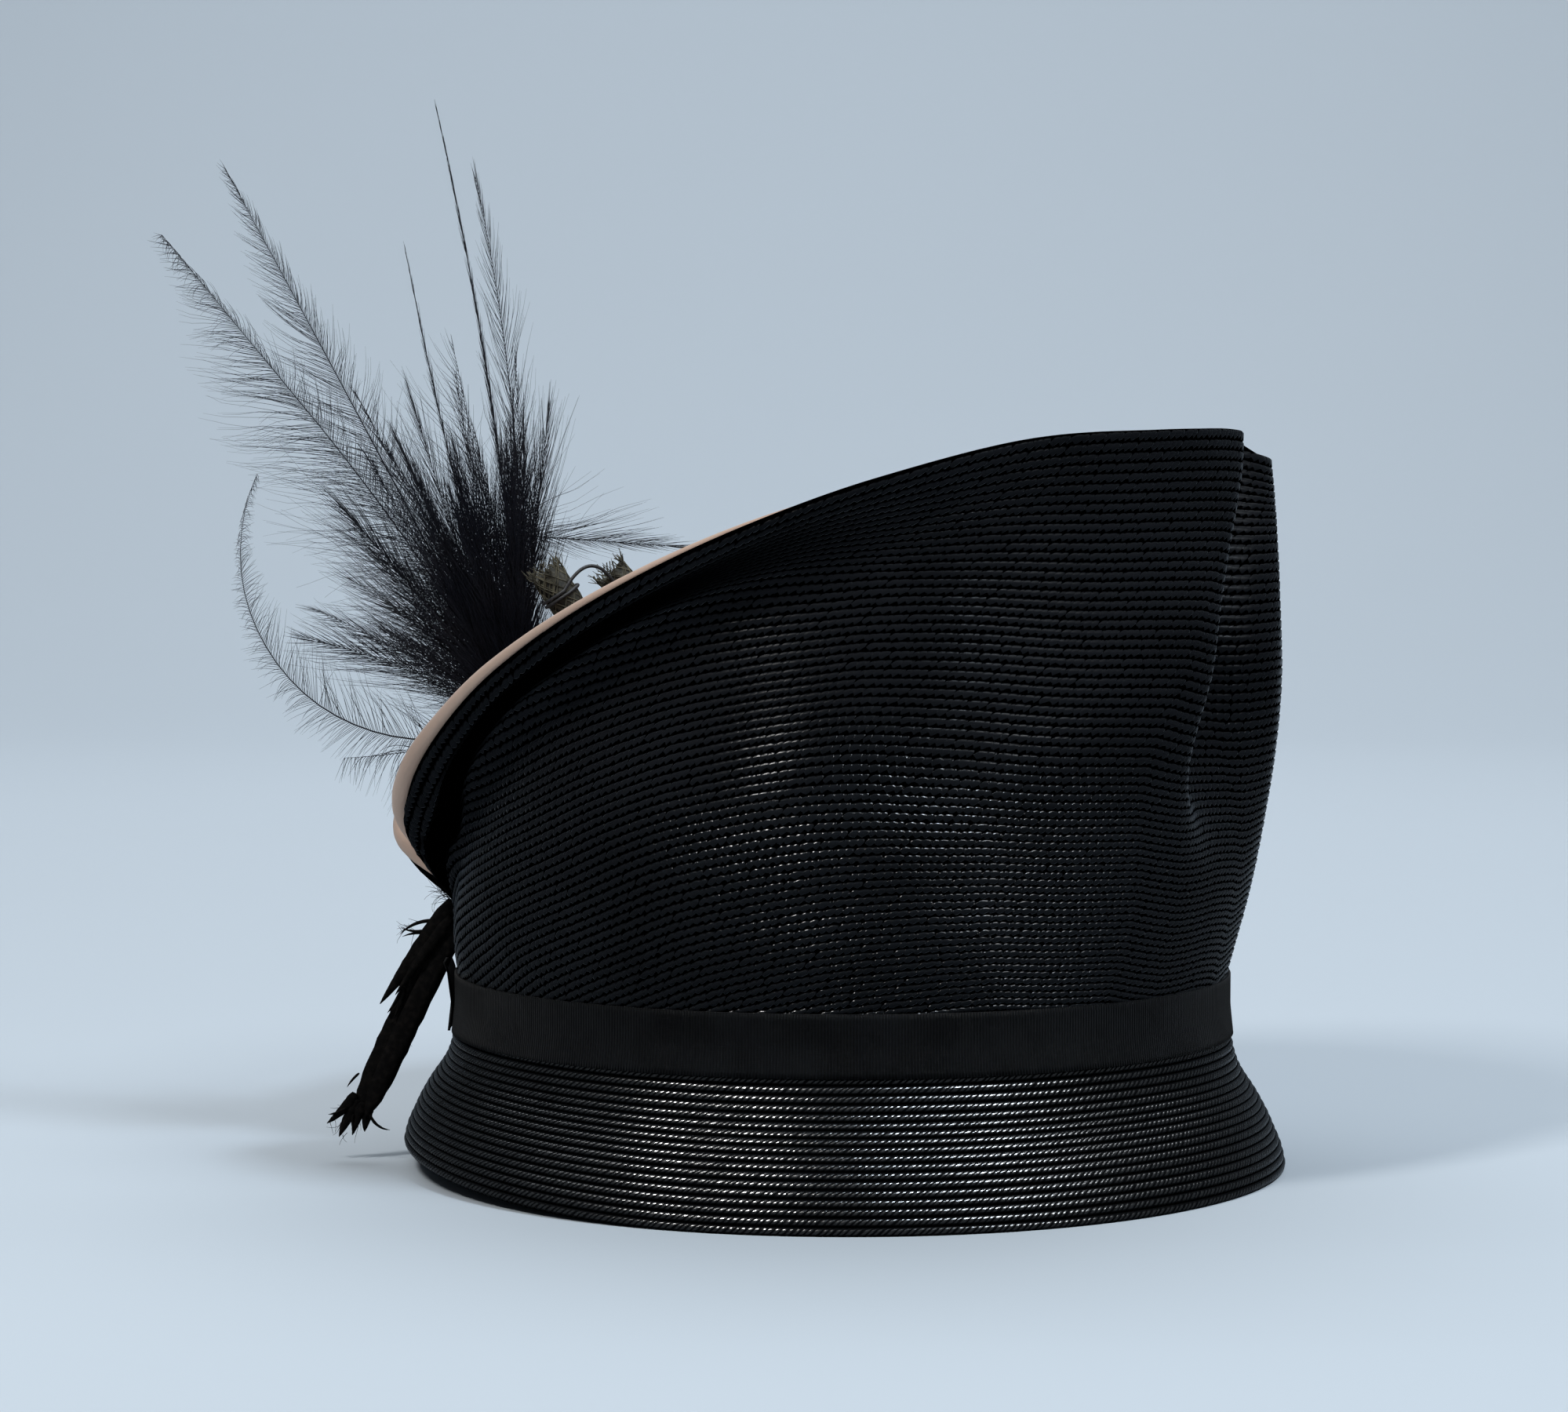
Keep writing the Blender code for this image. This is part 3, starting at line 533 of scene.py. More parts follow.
class Nodes:
    """Short calls that add and join the nodes of one tree."""

    def __init__(self, tree):
        self.tree = tree
        self.start = None

    def __getitem__(self, name):
        """One of a geometry tree's own inputs."""
        self.start = self.start or self.tree.nodes.new("NodeGroupInput")
        return Number(self, self.start.outputs[name])

    def __call__(self, kind, inputs=None, output=0, **settings):
        """A new node's output: inputs are values or numbers under their sockets' names or places."""
        node = self.tree.nodes.new(kind)
        for name, value in settings.items():
            setattr(node, name, value)
        for name, value in (inputs or {}).items():
            self.link(value, node.inputs[name])
        return Number(self, node.outputs[output]) if node.outputs else None

    def link(self, source, target):
        if isinstance(source, Number):
            self.tree.links.new(source.socket, target)
        else:
            target.default_value = source

    def math(self, operation, *values):
        return self("ShaderNodeMath", dict(enumerate(values)), operation=operation)

    def zigzag(self, phase):
        """Up from 0 to 1 and down again with each whole step of a phase."""
        return self.math("PINGPONG", phase, 0.5) * 2.0

    def noise(self, scale, vector=None, detail=2.0, dimensions="3D", output=0, **more):
        inputs = {"Scale": scale, "Detail": detail, **more}
        if vector is not None:
            inputs["W" if dimensions == "1D" else "Vector"] = vector
        return self("ShaderNodeTexNoise", inputs, output, noise_dimensions=dimensions)

    def joined(self, *values):
        """A vector of numbers."""
        return self("ShaderNodeCombineXYZ", dict(enumerate(values)))

    def vector(self, operation, first, second):
        return self("ShaderNodeVectorMath", {0: first, 1: second}, operation=operation)

    def scaled(self, vector, amount):
        return self("ShaderNodeVectorMath", {0: vector, "Scale": amount}, operation="SCALE")

    def chance(self, low, high, seed, whose=None, kind="FLOAT"):
        """A random number for each point, or for each of something."""
        at = 0 if kind == "FLOAT_VECTOR" else 2
        inputs = {at: low, at + 1: high, "Seed": seed}
        if whose is not None:
            inputs["ID"] = whose
        return self("FunctionNodeRandomValue", inputs, at // 2, data_type=kind)

    def ruffle(self, scale, detail):
        """A noise of vectors round nothing."""
        return self.vector("SUBTRACT", self.noise(scale, None, detail, output=1), (0.5, 0.5, 0.5))

    def tube(self, path, radius, sides):
        """A capped tube along paths."""
        ring = self("GeometryNodeCurvePrimitiveCircle", {"Radius": 1.0, "Resolution": sides})
        inputs = {"Curve": path, "Profile Curve": ring, "Scale": radius, "Fill Caps": True}
        return self("GeometryNodeCurveToMesh", inputs)

    def moved(self, geometry, offset):
        return self("GeometryNodeSetPosition", {"Geometry": geometry, "Offset": offset})

    def instanced(self, points, instance, rotation, size):
        """Copies on points, made real."""
        inputs = {"Points": points, "Instance": instance, "Rotation": rotation, "Scale": size}
        return self("GeometryNodeRealizeInstances", {0: self("GeometryNodeInstanceOnPoints", inputs)})

    def close(self, *geometry):
        """Ends a geometry tree in real meshes of one finish."""
        whole = geometry[0]
        if len(geometry) > 1:
            whole = self("GeometryNodeJoinGeometry")
            for piece in geometry:
                self.link(piece, whole.socket.node.inputs[0])
        real = self("GeometryNodeRealizeInstances", {0: whole})
        finished = {"Geometry": real, "Material": self["Finish"]}
        self("NodeGroupOutput", {0: self("GeometryNodeSetMaterial", finished)})
        return self.tree


def new_tree(name, **inputs):
    """The nodes of a geometry tree with named inputs, whose kinds follow from their usual values."""
    tree = bpy.data.node_groups.new(name, "GeometryNodeTree")
    face = tree.interface
    face.new_socket("Geometry", in_out="INPUT", socket_type="NodeSocketGeometry")
    kinds = {int: "NodeSocketInt", float: "NodeSocketFloat", tuple: "NodeSocketVector"}
    for label, value in inputs.items():
        title = label.replace("_", " ").title()
        socket = face.new_socket(title, in_out="INPUT", socket_type=kinds[type(value)])
        socket.default_value = value
    face.new_socket("Finish", in_out="INPUT", socket_type="NodeSocketMaterial")
    face.new_socket("Geometry", in_out="OUTPUT", socket_type="NodeSocketGeometry")
    return Nodes(tree)


def grown(obj, tree, **inputs):
    """Runs a geometry tree on an object once, and keeps the result as its plain mesh."""
    modifier = obj.modifiers.new("shape", "NODES")
    modifier.node_group = tree
    for item in tree.interface.items_tree:
        key = item.name.lower().replace(" ", "_")
        if item.in_out == "INPUT" and key in inputs:
            modifier[item.identifier] = inputs[key]
    graph = bpy.context.evaluated_depsgraph_get()
    mesh = bpy.data.meshes.new_from_object(obj.evaluated_get(graph))
    name = obj.name
    obj.modifiers.clear()
    if obj.type == "MESH":
        old = obj.data
        obj.data = mesh
        bpy.data.meshes.remove(old)
        mesh.name = name
        return obj
    bpy.data.objects.remove(obj)
    made = bpy.data.objects.new(name, mesh)
    bpy.context.scene.collection.objects.link(made)
    return made


def grown_on(name, paths, tree, **inputs):
    """What a geometry tree grows on curves through points."""
    curve = bpy.data.curves.new(name, "CURVE")
    curve.dimensions = "3D"
    for points in paths:
        spline = curve.splines.new("POLY")
        spline.points.add(len(points) - 1)
        for place, point in zip(spline.points, points):
            place.co = (*point, 1.0)
    obj = bpy.data.objects.new(name, curve)
    bpy.context.scene.collection.objects.link(obj)
    return grown(obj, tree, **inputs)


def settled(obj, node, finish=None):
    """A finished piece that stands for a solid of the hat."""
    if finish:
        obj.data.materials.append(finish)
    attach(obj, "root")
    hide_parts(node)
    return obj


def shader(name, colour, roughness, **values):
    """A new material, its nodes and its shader, with single values under the sockets' names."""
    made = bpy.data.materials.new(name)
    made.use_nodes = True
    bsdf = made.node_tree.nodes["Principled BSDF"]
    bsdf.inputs["Base Color"].default_value = (*colour, 1)
    bsdf.inputs["Roughness"].default_value = roughness
    for name, value in values.items():
        bsdf.inputs[name.replace("_", " ")].default_value = value
    return made, Nodes(made.node_tree), bsdf.inputs


def painted(n, sockets, value, low, high):
    """Colours a shader from one (place, colour) to another."""
    colours = n("ShaderNodeValToRGB", {0: value})
    for element, (place, colour) in zip(colours.socket.node.color_ramp.elements, (low, high)):
        element.position = place
        element.color = (*colour, 1)
    n.link(colours, sockets["Base Color"])


def bumped(n, sockets, height, strength, distance):
    """Presses a height into a shader's normal."""
    bump = n("ShaderNodeBump", {"Strength": strength, "Distance": distance, "Height": height})
    n.link(bump, sockets["Normal"])
    return bump


def object_place(n):
    """Object coordinates."""
    return n("ShaderNodeTexCoord", output="Object")


def on_cloth(n, layer):
    """The two coordinates of a piece's own map."""
    parts = n("ShaderNodeSeparateXYZ", {0: n("ShaderNodeUVMap", uv_map=layer)})
    return parts, Number(n, parts.socket.node.outputs[1])


def shaded(colour, *shares):
    """A colour times one share, or a share for each of its parts."""
    return tuple(c * share for c, share in zip(colour, shares * 3))


def grained(name, colour, roughness, grain, detail, low, high, relief=0.0, depth=0.0003, **values):
    """A finish whose colour, and bump if any, follow one grain between two (place, colour) ends."""
    made, n, sockets = shader(name, colour, roughness, **values)
    fine = n.noise(grain, object_place(n), detail)
    painted(n, sockets, fine, low, high)
    if relief:
        bumped(n, sockets, fine, relief, depth)
    return made


# How far apart the plait's knots come, and the row from which flat rows glint, over so many more
KNOT_SPACING = 0.0053
GLINT_FROM = 28.0
GLINT_OVER = 14.0


def braid_material(name, settings, slant, cord):
    """Lacquered plait: slanted straws in each row, a scalloped groove between rows that is painted dark as
    shade, uneven gloss.

    A cord of 0 makes flat rows with thin ticks, and 1 makes round rows of slanted straws."""
    made, n, sockets = shader(
        name, settings.straw_colour, settings.straw_roughness,
        Sheen_Roughness=0.25, Sheen_Tint=(0.80, 0.90, 1.0, 1.0), Coat_Tint=(0.84, 0.95, 1.0, 1.0),
        Coat_Roughness=settings.lacquer_roughness * mix(1.0, 1.5, cord), Coat_IOR=mix(2.0, 3.4, cord),
    )
    along, place = on_cloth(n, "braid")
    row, share = n.math("FLOOR", place), n.math("FRACT", place)
    slid = n("ShaderNodeTexWhiteNoise", {"W": row}, noise_dimensions="1D") * 7.0
    sloped = along / (settings.plait_length * mix(1.35, 1.0, cord)) + slid + share * slant
    wobble = n.noise(0.6, n.joined(sloped, row), dimensions="2D")
    strand = n.zigzag(sloped + wobble * 0.9)
    straws = strand ** mix(0.30, 0.65, cord)
    across = n.math("SINE", share * math.pi)
    knot = 1.0 - n.zigzag(along / KNOT_SPACING + slid + share * 0.4)
    teeth = (1.0 - strand) ** 1.5 * mix(0.58, 0.14, cord) * share
    lost = ((wobble - 0.25) * 2.0).clamped()
    knots = knot**8.0 * lost * mix(0.26, 0.0, cord)
    ticks = knot**50.0 * ((1.0 - share) * 0.26)
    nearer = n.math("MINIMUM", share, 1.0 - share)
    edge = nearer - teeth - knots - ticks * (1.0 - cord)
    groove = ((edge - 0.03) * mix(12.0, 9.0, cord)).clamped()
    # Rows pressed flat in the hollow behind the lip, at the sewn edge and on the inner side lose their face
    # here, so they are painted near black as shade.
    groove = groove * n("ShaderNodeAttribute", output="Fac", attribute_name="ridged")
    fine = n.noise(1.0, n.joined(along * 420.0, place * 9.0), 3.0, "2D")
    height = groove * mix(0.5, 0.4, cord) + straws * across * mix(0.28, 0.42, cord)
    height = height + across * (0.2 * cord) + fine * mix(0.10, 0.05, cord)
    n.link(bumped(n, sockets, height, settings.plait_relief, 0.0003), sockets["Coat Normal"])
    # The faces are painted three times as light on flat rows as on round rows of the same straw: painted
    # light on the wall, painted shade on the flare.
    light = tuple(c * mix(3.3, 1.1, cord) + 0.0005 for c in settings.straw_colour)
    patch = n.noise(35.0, object_place(n)) + 0.35
    # Painted shade: the groove, with the teeth, knots and ticks cut into it, is painted near black; the
    # noise patches on the faces are the straw's own uneven tone.
    painted(n, sockets, groove * patch, (0.0, shaded(settings.straw_colour, 0.06)), (0.9, light))
    if cord > 0.5:
        dash = ((strand - 0.30) * 3.0).clamped()
        kept = ((nearer - 0.20) * 8.0).clamped()
    else:
        dash = 1.0 - ((edge - 0.06) * 5.0).clamped() * 0.8
        kept = ((place - GLINT_FROM) / GLINT_OVER).clamped() * 0.65 + 0.02
    gloss = (fine - 0.5) * 0.2 + settings.straw_roughness
    n.link((gloss + (1.0 - groove) * 0.45).clamped(), sockets["Roughness"])
    n.link(groove * dash * kept * settings.lacquer, sockets["Coat Weight"])
    n.link(groove * 0.04, sockets["Specular IOR Level"])
    n.link(groove * settings.straw_haze, sockets["Sheen Weight"])
    return made


def cloth_material(settings):
    """Matte crepe: a fine crinkle over a softer pucker, with faint stains."""
    colour = settings.cloth_colour
    made, n, sockets = shader(
        "peach_crepe", colour, 0.9, Sheen_Weight=0.25, Sheen_Roughness=0.5, Specular_IOR_Level=0.2
    )
    place = object_place(n)
    crinkle = n.noise(1900.0, place, 2.0, Distortion=0.6)
    pucker = n.noise(130.0, place, 3.0)
    bumped(n, sockets, crinkle * 0.35 + pucker, settings.crepe_relief, 0.0006)
    # The pale end of the stains is the cloth's own faded colour.
    wear_and_sheen = tuple(min(1.0, c * 1.12) for c in colour)
    soiled = shaded(colour, 0.92, 0.89, 0.87)
    painted(n, sockets, n.noise(28.0, place, 4.0), (0.30, soiled), (0.62, wear_and_sheen))
    return made


def ribbon_material(settings):
    """Black ribbed ribbon: fine cross ribs with a silky sheen along them, with painted shade along the ribs
    and painted patches of sheen in its colour.
    """
    colour = settings.ribbon_colour
    made, n, sockets = shader(
        "ribbed_ribbon", colour, 0.5, Specular_IOR_Level=0.35, Sheen_Weight=0.03, Sheen_Roughness=0.25
    )
    along, up = on_cloth(n, "ribbon")
    ribs = n.math("SINE", along * (math.tau / settings.rib_pitch))
    weft = n.noise(1.0, n.joined(along * 260.0, up * 5200.0), 2.0, "2D")
    wear_and_sheen = n.noise(60.0, object_place(n), 4.0)
    bumped(n, sockets, ribs * (wear_and_sheen * 2.0) + weft * 0.5, 0.9, 0.0003)
    # Painted shade and sheen: the colour darkens and pales along each rib and in the noise patches, which
    # also set the roughness and the ribs' depth.
    painted(n, sockets, wear_and_sheen + ribs * 0.16, (0.30, shaded(colour, 0.4)), (0.72, shaded(colour, 2.0)))
    n.link(wear_and_sheen * 0.42 + 0.24, sockets["Roughness"])
    return made


def feather_material(settings):
    """Blue-black feather with browner, paler stretches."""
    blue = settings.feather_colour
    brown = shaded(blue, 2.6, 2.0, 1.5)
    return grained(
        "blue_black_feather", blue, 0.5, 45.0, 3.0, (0.40, blue), (0.75, brown), Specular_IOR_Level=0.3
    )


def fibre_material():
    """Dry, dusty black fibre."""
    return grained(
        "frayed_black_fibre", (0.004, 0.0035, 0.003), 0.8, 620.0, 4.0, (0.45, (0.0018, 0.0016, 0.0016)),
        (0.74, (0.0090, 0.0068, 0.0055)), 0.6, 0.0004, Specular_IOR_Level=0.15,
    )


def net_material():
    """Olive net, stiff with old size, darker in its hollows."""
    return grained(
        "olive_net", (0.10, 0.09, 0.055), 0.85, 320.0, 5.0, (0.36, (0.030, 0.026, 0.016)),
        (0.66, (0.165, 0.150, 0.100)), 0.5,
    )


def stiffening_material():
    """The dark, sized cloth under the net."""
    return grained(
        "olive_stiffening", (0.025, 0.023, 0.015), 0.7, 900.0, 3.0, (0.35, (0.010, 0.009, 0.006)),
        (0.68, (0.055, 0.050, 0.032)), 0.6,
    )


def wire_material():
    """Thread-wound wire, rough with its turns of dark thread."""
    return grained(
        "thread_wound_wire", (0.025, 0.025, 0.027), 0.45, 2600.0, 2.0, (0.3, (0.012, 0.012, 0.013)),
        (0.7, (0.06, 0.06, 0.064)), 0.5, 0.0001,
    )


def floor_material(settings):
    """Seamless pale paper with the faintest unevenness."""
    pale = settings.floor_colour
    low = (0.3, shaded(pale, 0.985))
    return grained("pale_paper", pale, 0.95, 1.2, 2.0, low, (0.7, pale), Specular_IOR_Level=0.1)


def length_of(name, description, default, **limits):
    """A setting in metres."""
    return FloatProperty(name=name, description=description, default=default, unit="LENGTH", **limits)


def share_of(name, description, default):
    """A setting from 0 to 1."""
    return FloatProperty(
        name=name, description=description, default=default, min=0.0, max=1.0, subtype="FACTOR"
    )


def colour_of(name, description, default):
    """A setting that is a colour."""
    return FloatVectorProperty(name=name, description=description, default=default, subtype="COLOR")


def power_of(name, description, default):
    """A setting in watts."""
    return FloatProperty(name=name, description=description, default=default, unit="POWER")


class HatStraw(bpy.types.PropertyGroup):
    """The braid of the straw pieces."""

    row_pitch: length_of("Row Pitch", "Spacing of the sewn rows", 0.0024, min=0.0015)
    ridge_height: length_of("Ridge Height", "How proud each row stands", 0.00034)
    plait_length: length_of("Plait Length", "Spacing of the slanted straws in a row", 0.0016)
    plait_relief: share_of("Plait Relief", "Depth of the plaiting", 0.8)
    lacquer: share_of("Lacquer", "Strength of the glossy coat", 0.9)
    lacquer_roughness: share_of("Lacquer Roughness", "Roughness of the glossy coat", 0.14)
    straw_haze: share_of("Haze", "How pale the straw looks along its turned-away sides", 0.28)
    straw_colour: colour_of("Straw Colour", "Colour of the straw", (0.0030, 0.0033, 0.0039))
    straw_roughness: share_of("Straw Roughness", "Roughness of the bare straw", 0.30)
    seed: IntProperty(name="Seed", description="Variation of the rows", default=3)


class HatCloth(bpy.types.PropertyGroup):
    """The cloth inside the turned-up brim, and the ribbon."""

    cloth_colour: colour_of("Facing Colour", "Colour of the crepe facing", (0.50, 0.35, 0.27))
    crepe_relief: share_of("Crepe Relief", "Depth of the crepe's crinkle", 0.35)
    ribbon_colour: colour_of("Ribbon Colour", "Colour of the ribbon", (0.0046, 0.0053, 0.0064))
    rib_pitch: length_of("Rib Pitch", "Spacing of the ribbon's ribs", 0.00078, min=0.0003)


class HatPlume(bpy.types.PropertyGroup):
    """The feathers."""

    barb_radius: length_of("Barb Radius", "Half a barb's thickness at its root", 0.000085)
    shaft_radius: length_of("Shaft Radius", "Half a shaft's thickness at its root", 0.00034)
    density: FloatProperty(
        name="Density", description="Barbs on each side for each metre of a shaft", default=1250.0, min=100.0
    )
    clumping: FloatProperty(
        name="Clumping", description="How much neighbouring barbs cling together", default=0.9, min=0.0
    )
    down: FloatProperty(
        name="Down", description="Number of downy sprays, as a share of the real one's", default=1.0, min=0.0
    )
    strays: IntProperty(name="Strays", description="Number of loose barbs", default=70, min=1)
    feather_colour: colour_of("Feather Colour", "Colour of the feathers", (0.0080, 0.0100, 0.0180))
    seed: IntProperty(name="Seed", description="Variation of the barbs", default=11)


class HatStage(bpy.types.PropertyGroup):
    """The floor, the lights and the camera."""

    floor_colour: colour_of("Floor Colour", "Colour of the paper floor", (0.60, 0.665, 0.725))
    key_power: power_of("Key Power", "Power of the soft boxes in front", 11.5)
    room_light: FloatProperty(
        name="Room Light", description="Brightness of the room round the stage", default=0.06, min=0.0
    )
    fill_power: power_of("Fill Power", "Power of the broad light overhead", 37.0)
    backdrop_power: power_of("Backdrop Power", "Power of the light on the backdrop", 16.0)
    lens: FloatProperty(name="Lens", description="Camera's focal length in millimetres", default=88.2)


def braid_tree():
    """Geometry nodes that press rows of braid into a sheet."""
    n = new_tree("Braid Rows", ridge_height=0.0005, waver=0.0001, leaning=0.3, roundness=0.0, seed=3)
    place, ridged = (
        n("GeometryNodeInputNamedAttribute", {"Name": name}, data_type="FLOAT")
        for name in ("row_place", "ridged")
    )
    share = n.math("FRACT", place)
    full = n.math("MINIMUM", n.math("MINIMUM", share / 0.16, (1.0 - share) / 0.16), 1.0)
    full = full * (1.0 - share * n["Leaning"])
    full = full + (n.math("SINE", share * math.pi) - full) * n["Roundness"]
    uneven = n.chance(0.82, 1.12, n["Seed"], n.math("FLOOR", place))
    swell = (n.noise(90.0) - 0.5) * n["Waver"]
    amount = (full * uneven * n["Ridge Height"] + swell) * ridged
    return n.close(n.moved(n["Geometry"], n.scaled(n("GeometryNodeInputNormal"), amount)))


def braided(name, node, outer, inner, places, finish, relief=1.0, **rows):
    """A sheet with rows of braid outside: outer and inner are (column, level, xyz), outer going down."""
    columns, levels = outer.shape[:2]
    points = np.concatenate([outer, inner[:, ::-1]], 1)
    total = points.shape[1]
    flat = points.reshape(-1, 3)
    faces = quads(columns, total, "jk ik im jm")
    step = np.linalg.norm(np.roll(outer, -1, 0) - outer, axis=2)
    along = np.concatenate([np.zeros((1, levels)), np.cumsum(step, 0)])
    whole = places.astype(int)
    plain = np.full(total - levels + 1, levels - 1)
    measured = np.append(np.minimum(np.searchsorted(whole, whole) + 1, levels - 1)[:-1], plain)
    low, high = along[:-1][:, measured], along[1:][:, measured]
    above, below = (
        np.tile(np.append(part, plain * 0 + INNER_PLACE), (columns, 1)) for part in (places[:-1], places[1:])
    )
    corners = np.stack([high, above, low, above, low, below, high, below], 2).reshape(-1, 4, 2)
    ends = [flat[faces[:, k + 2]] - flat[faces[:, k]] for k in (0, 1)]
    good = np.linalg.norm(np.cross(*ends), axis=1) > 1e-12
    obj = new_mesh(name, flat, faces[good], corners[good])
    unmarked = np.zeros((columns, total - levels))
    # This mask is 1 where the rows stand proud, and 0 at the sewn edge, on pressed-flat rows and on the
    # inner side, where the braid's finish paints them near black as shade.
    ridged = np.ones((columns, levels)) * relief
    ridged[:, 0] = 0.0
    for label, values in (("row_place", np.tile(places, (columns, 1))), ("ridged", ridged)):
        attribute = obj.data.attributes.new(label, "FLOAT", "POINT")
        values = np.concatenate([values, unmarked], 1)
        attribute.data.foreach_set("value", values.astype(np.float32).ravel())
    mended(obj, merge=True, outward=False)
    tree = bpy.data.node_groups.get("Braid Rows") or braid_tree()
    return settled(grown(obj, tree, finish=finish, **rows), node)


class HAT_OT_upturned_brim(bpy.types.Operator):
    """Build the tall braided wall of the turned-up brim"""

    bl_idname = "hat.upturned_brim"
    bl_label = "Turned-up Brim"

    def execute(self, context):
        straw = context.scene.hat_straw
        angles = wall_angles(WALL_COLUMNS)
        wall = (angles, *wall_lines(angles))
        lengths, places, relief = row_lengths(*wall, straw.row_pitch, WALL_REACH)
        back = wall[2][:, -1:] * np.linspace(1, 0, 9)
        inner = wall_points(*wall, back) - wall_normals(*wall, back)[0] * STRAW
        finish = braid_material("lacquered_wall_braid", straw, 0.5, 0.0)
        outer = wall_points(*wall, lengths)
        braided(
            "upturned_brim_braid", "upturned_brim", outer, inner, places, finish, relief,
            ridge_height=straw.ridge_height, waver=0.00010, leaning=0.35, roundness=0.0, seed=straw.seed,
        )
        return {"FINISHED"}


class HAT_OT_lower_brim(bpy.types.Operator):
    """Build the short flared brim below the ribbon"""

    bl_idname = "hat.lower_brim"
    bl_label = "Lower Brim"

    def execute(self, context):
        straw = context.scene.hat_straw
        angles = all_round(FLARE_COLUMNS)
        down = np.linspace(0, 1, 60)
        lift = FRONT_LIFT * front_share(angles)[:, None]
        height = FLARE_HEIGHT - GAP - lift
        ends = flare_out(angles[:, None], 1.0)

        def skin(depth, share):
            after, before = np.minimum(share + 0.02, 1), np.maximum(share - 0.02, 0)
            slope_out = (read(FLARE, "down", after, "out") - read(FLARE, "down", before, "out")) * ends
            slope_down = (after - before) * height
            size = np.hypot(slope_out, slope_down)
            out = read(FLARE, "down", share, "out") * ends - depth * slope_down / size
            up = lift + height * (1 - share) - depth * slope_out / size * smooth(share * 6)
            x, y = oval(angles[:, None], out)
            return np.stack([x, y, np.maximum(up, lift)], 2)

        gone = gone_along(skin(0.0, down)[FLARE_COLUMNS // 4])
        rows = round(gone[-1] / FLARE_PITCH)
        places = row_places(rows)
        outer = skin(0.0, np.interp(places / rows * gone[-1], gone, down))
        finish = braid_material("lacquered_flare_braid", straw, 1.7, 1.0)
        inner = skin(STRAW, np.linspace(0, 1, 14))
        braided(
            "lower_brim_braid", "lower_brim", outer, inner, places, finish, seed=straw.seed + 1,
            ridge_height=straw.ridge_height * 1.4, waver=0.00006, leaning=0.0, roundness=0.9,
        )
        return {"FINISHED"}


def crown_reach(up):
    """The crown's plan, as a share of the head oval, at a share of its height."""
    last_up, last_reach = CROWN["up"][-1], CROWN["reach"][-1]
    dome = last_reach * np.sqrt(np.clip((1 - up) / (1 - last_up), 0, 1))
    return np.where(up >= last_up, dome, read(CROWN, "up", np.minimum(up, last_up), "reach"))


class HAT_OT_crown(bpy.types.Operator):
    """Build the domed crown inside the brim"""

    bl_idname = "hat.crown"
    bl_label = "Crown"

    def execute(self, context):
        straw = context.scene.hat_straw
        angles = all_round(CROWN_COLUMNS)
        last_up = CROWN["up"][-1]
        dome = 1 - (1 - last_up) * np.linspace(1, 0, 60)[1:] ** 2
        fine = np.concatenate([np.linspace(0, last_up, 120), dome])
        gone = gone_along(np.stack([crown_reach(fine) * HEAD_WIDTH / 2, fine * CROWN_HEIGHT], 1))
        tip = gone[-1] - CROWN_TIP
        rows = round(gone[-1] / straw.row_pitch)
        places = row_places(rows)

        def skin(inset, lengths):
            ups = np.interp(np.minimum(lengths, tip), gone, fine)
            x, y = oval(angles[:, None], -STRAW - GAP)
            plan = np.stack([(x - SHIFT) * crown_reach(ups)[None], y * crown_reach(ups)[None]], 2)
            size = np.linalg.norm(plan, axis=2, keepdims=True)
            plan = plan * np.maximum(1 - inset / np.maximum(size, 1e-9), 0.0)
            level = np.tile(FLARE_HEIGHT + CROWN_FOOT + (CROWN_HEIGHT - inset) * ups, (len(angles), 1))
            return np.stack([plan[..., 0] + SHIFT, plan[..., 1], level], 2)[:, ::-1]

        outer, inner = skin(0.0, places / rows * gone[-1]), skin(STRAW, np.linspace(0, tip, 16))
        finish = braid_material("lacquered_crown_braid", straw, 1.0, 0.3)
        braided(
            "crown_braid", "crown", outer, inner, places, finish,
            ridge_height=straw.ridge_height, waver=0.0001, leaning=0.2, roundness=0.5, seed=straw.seed + 2,
        )
        return {"FINISHED"}


def cut_area(obj):
    """The area of a sheet's one side."""
    return sum(face.area for face in obj.data.polygons) / 2


def facing_sheet(wall, head):
    """The sheet of cloth, from low on the wall up to its heads, and its flat size."""
    levels = FACING_FOOT + (head - FACING_FOOT)[:, None] * np.linspace(0, 1, 30)
    base = wall_points(*wall, levels)
    normals, _ = wall_normals(*wall, levels)
    front, back = (base - normals * depth for depth in (FACING_IN + FACING, FACING_IN))
    points = np.concatenate([front, back[:, ::-1]], 1)
    faces = quads(FACING_COLUMNS, points.shape[1], "ik jk jm im")
    around = np.linalg.norm(np.roll(base, -1, 0) - base, axis=2).sum(0).max()
    sheet = new_mesh("brim_facing_cloth", points.reshape(-1, 3), faces)
    return sheet, ((head - FACING_FOOT).max(), around)


def facing_roll(wall, radius, sunk):
    """The padded roll over the cloth's edge."""
    length = wall[2][:, -1]
    at = np.minimum(length, length - sunk)[:, None]
    normal, up = wall_normals(*wall, at)
    centre = wall_points(*wall, at)[:, 0] + up[:, 0] * np.maximum(0, -sunk)[:, None]
    centre = centre - normal[:, 0] * (FACING_IN + radius)[:, None]
    spokes = np.radians(all_round(16))[None, :, None]
    ring = centre[:, None] + radius[:, None, None] * (np.cos(spokes) * normal + np.sin(spokes) * up)
    faces = quads(FACING_COLUMNS, ring.shape[1], "ik im jm jk")
    return new_mesh("brim_roll_cloth", ring.reshape(-1, 3), faces)


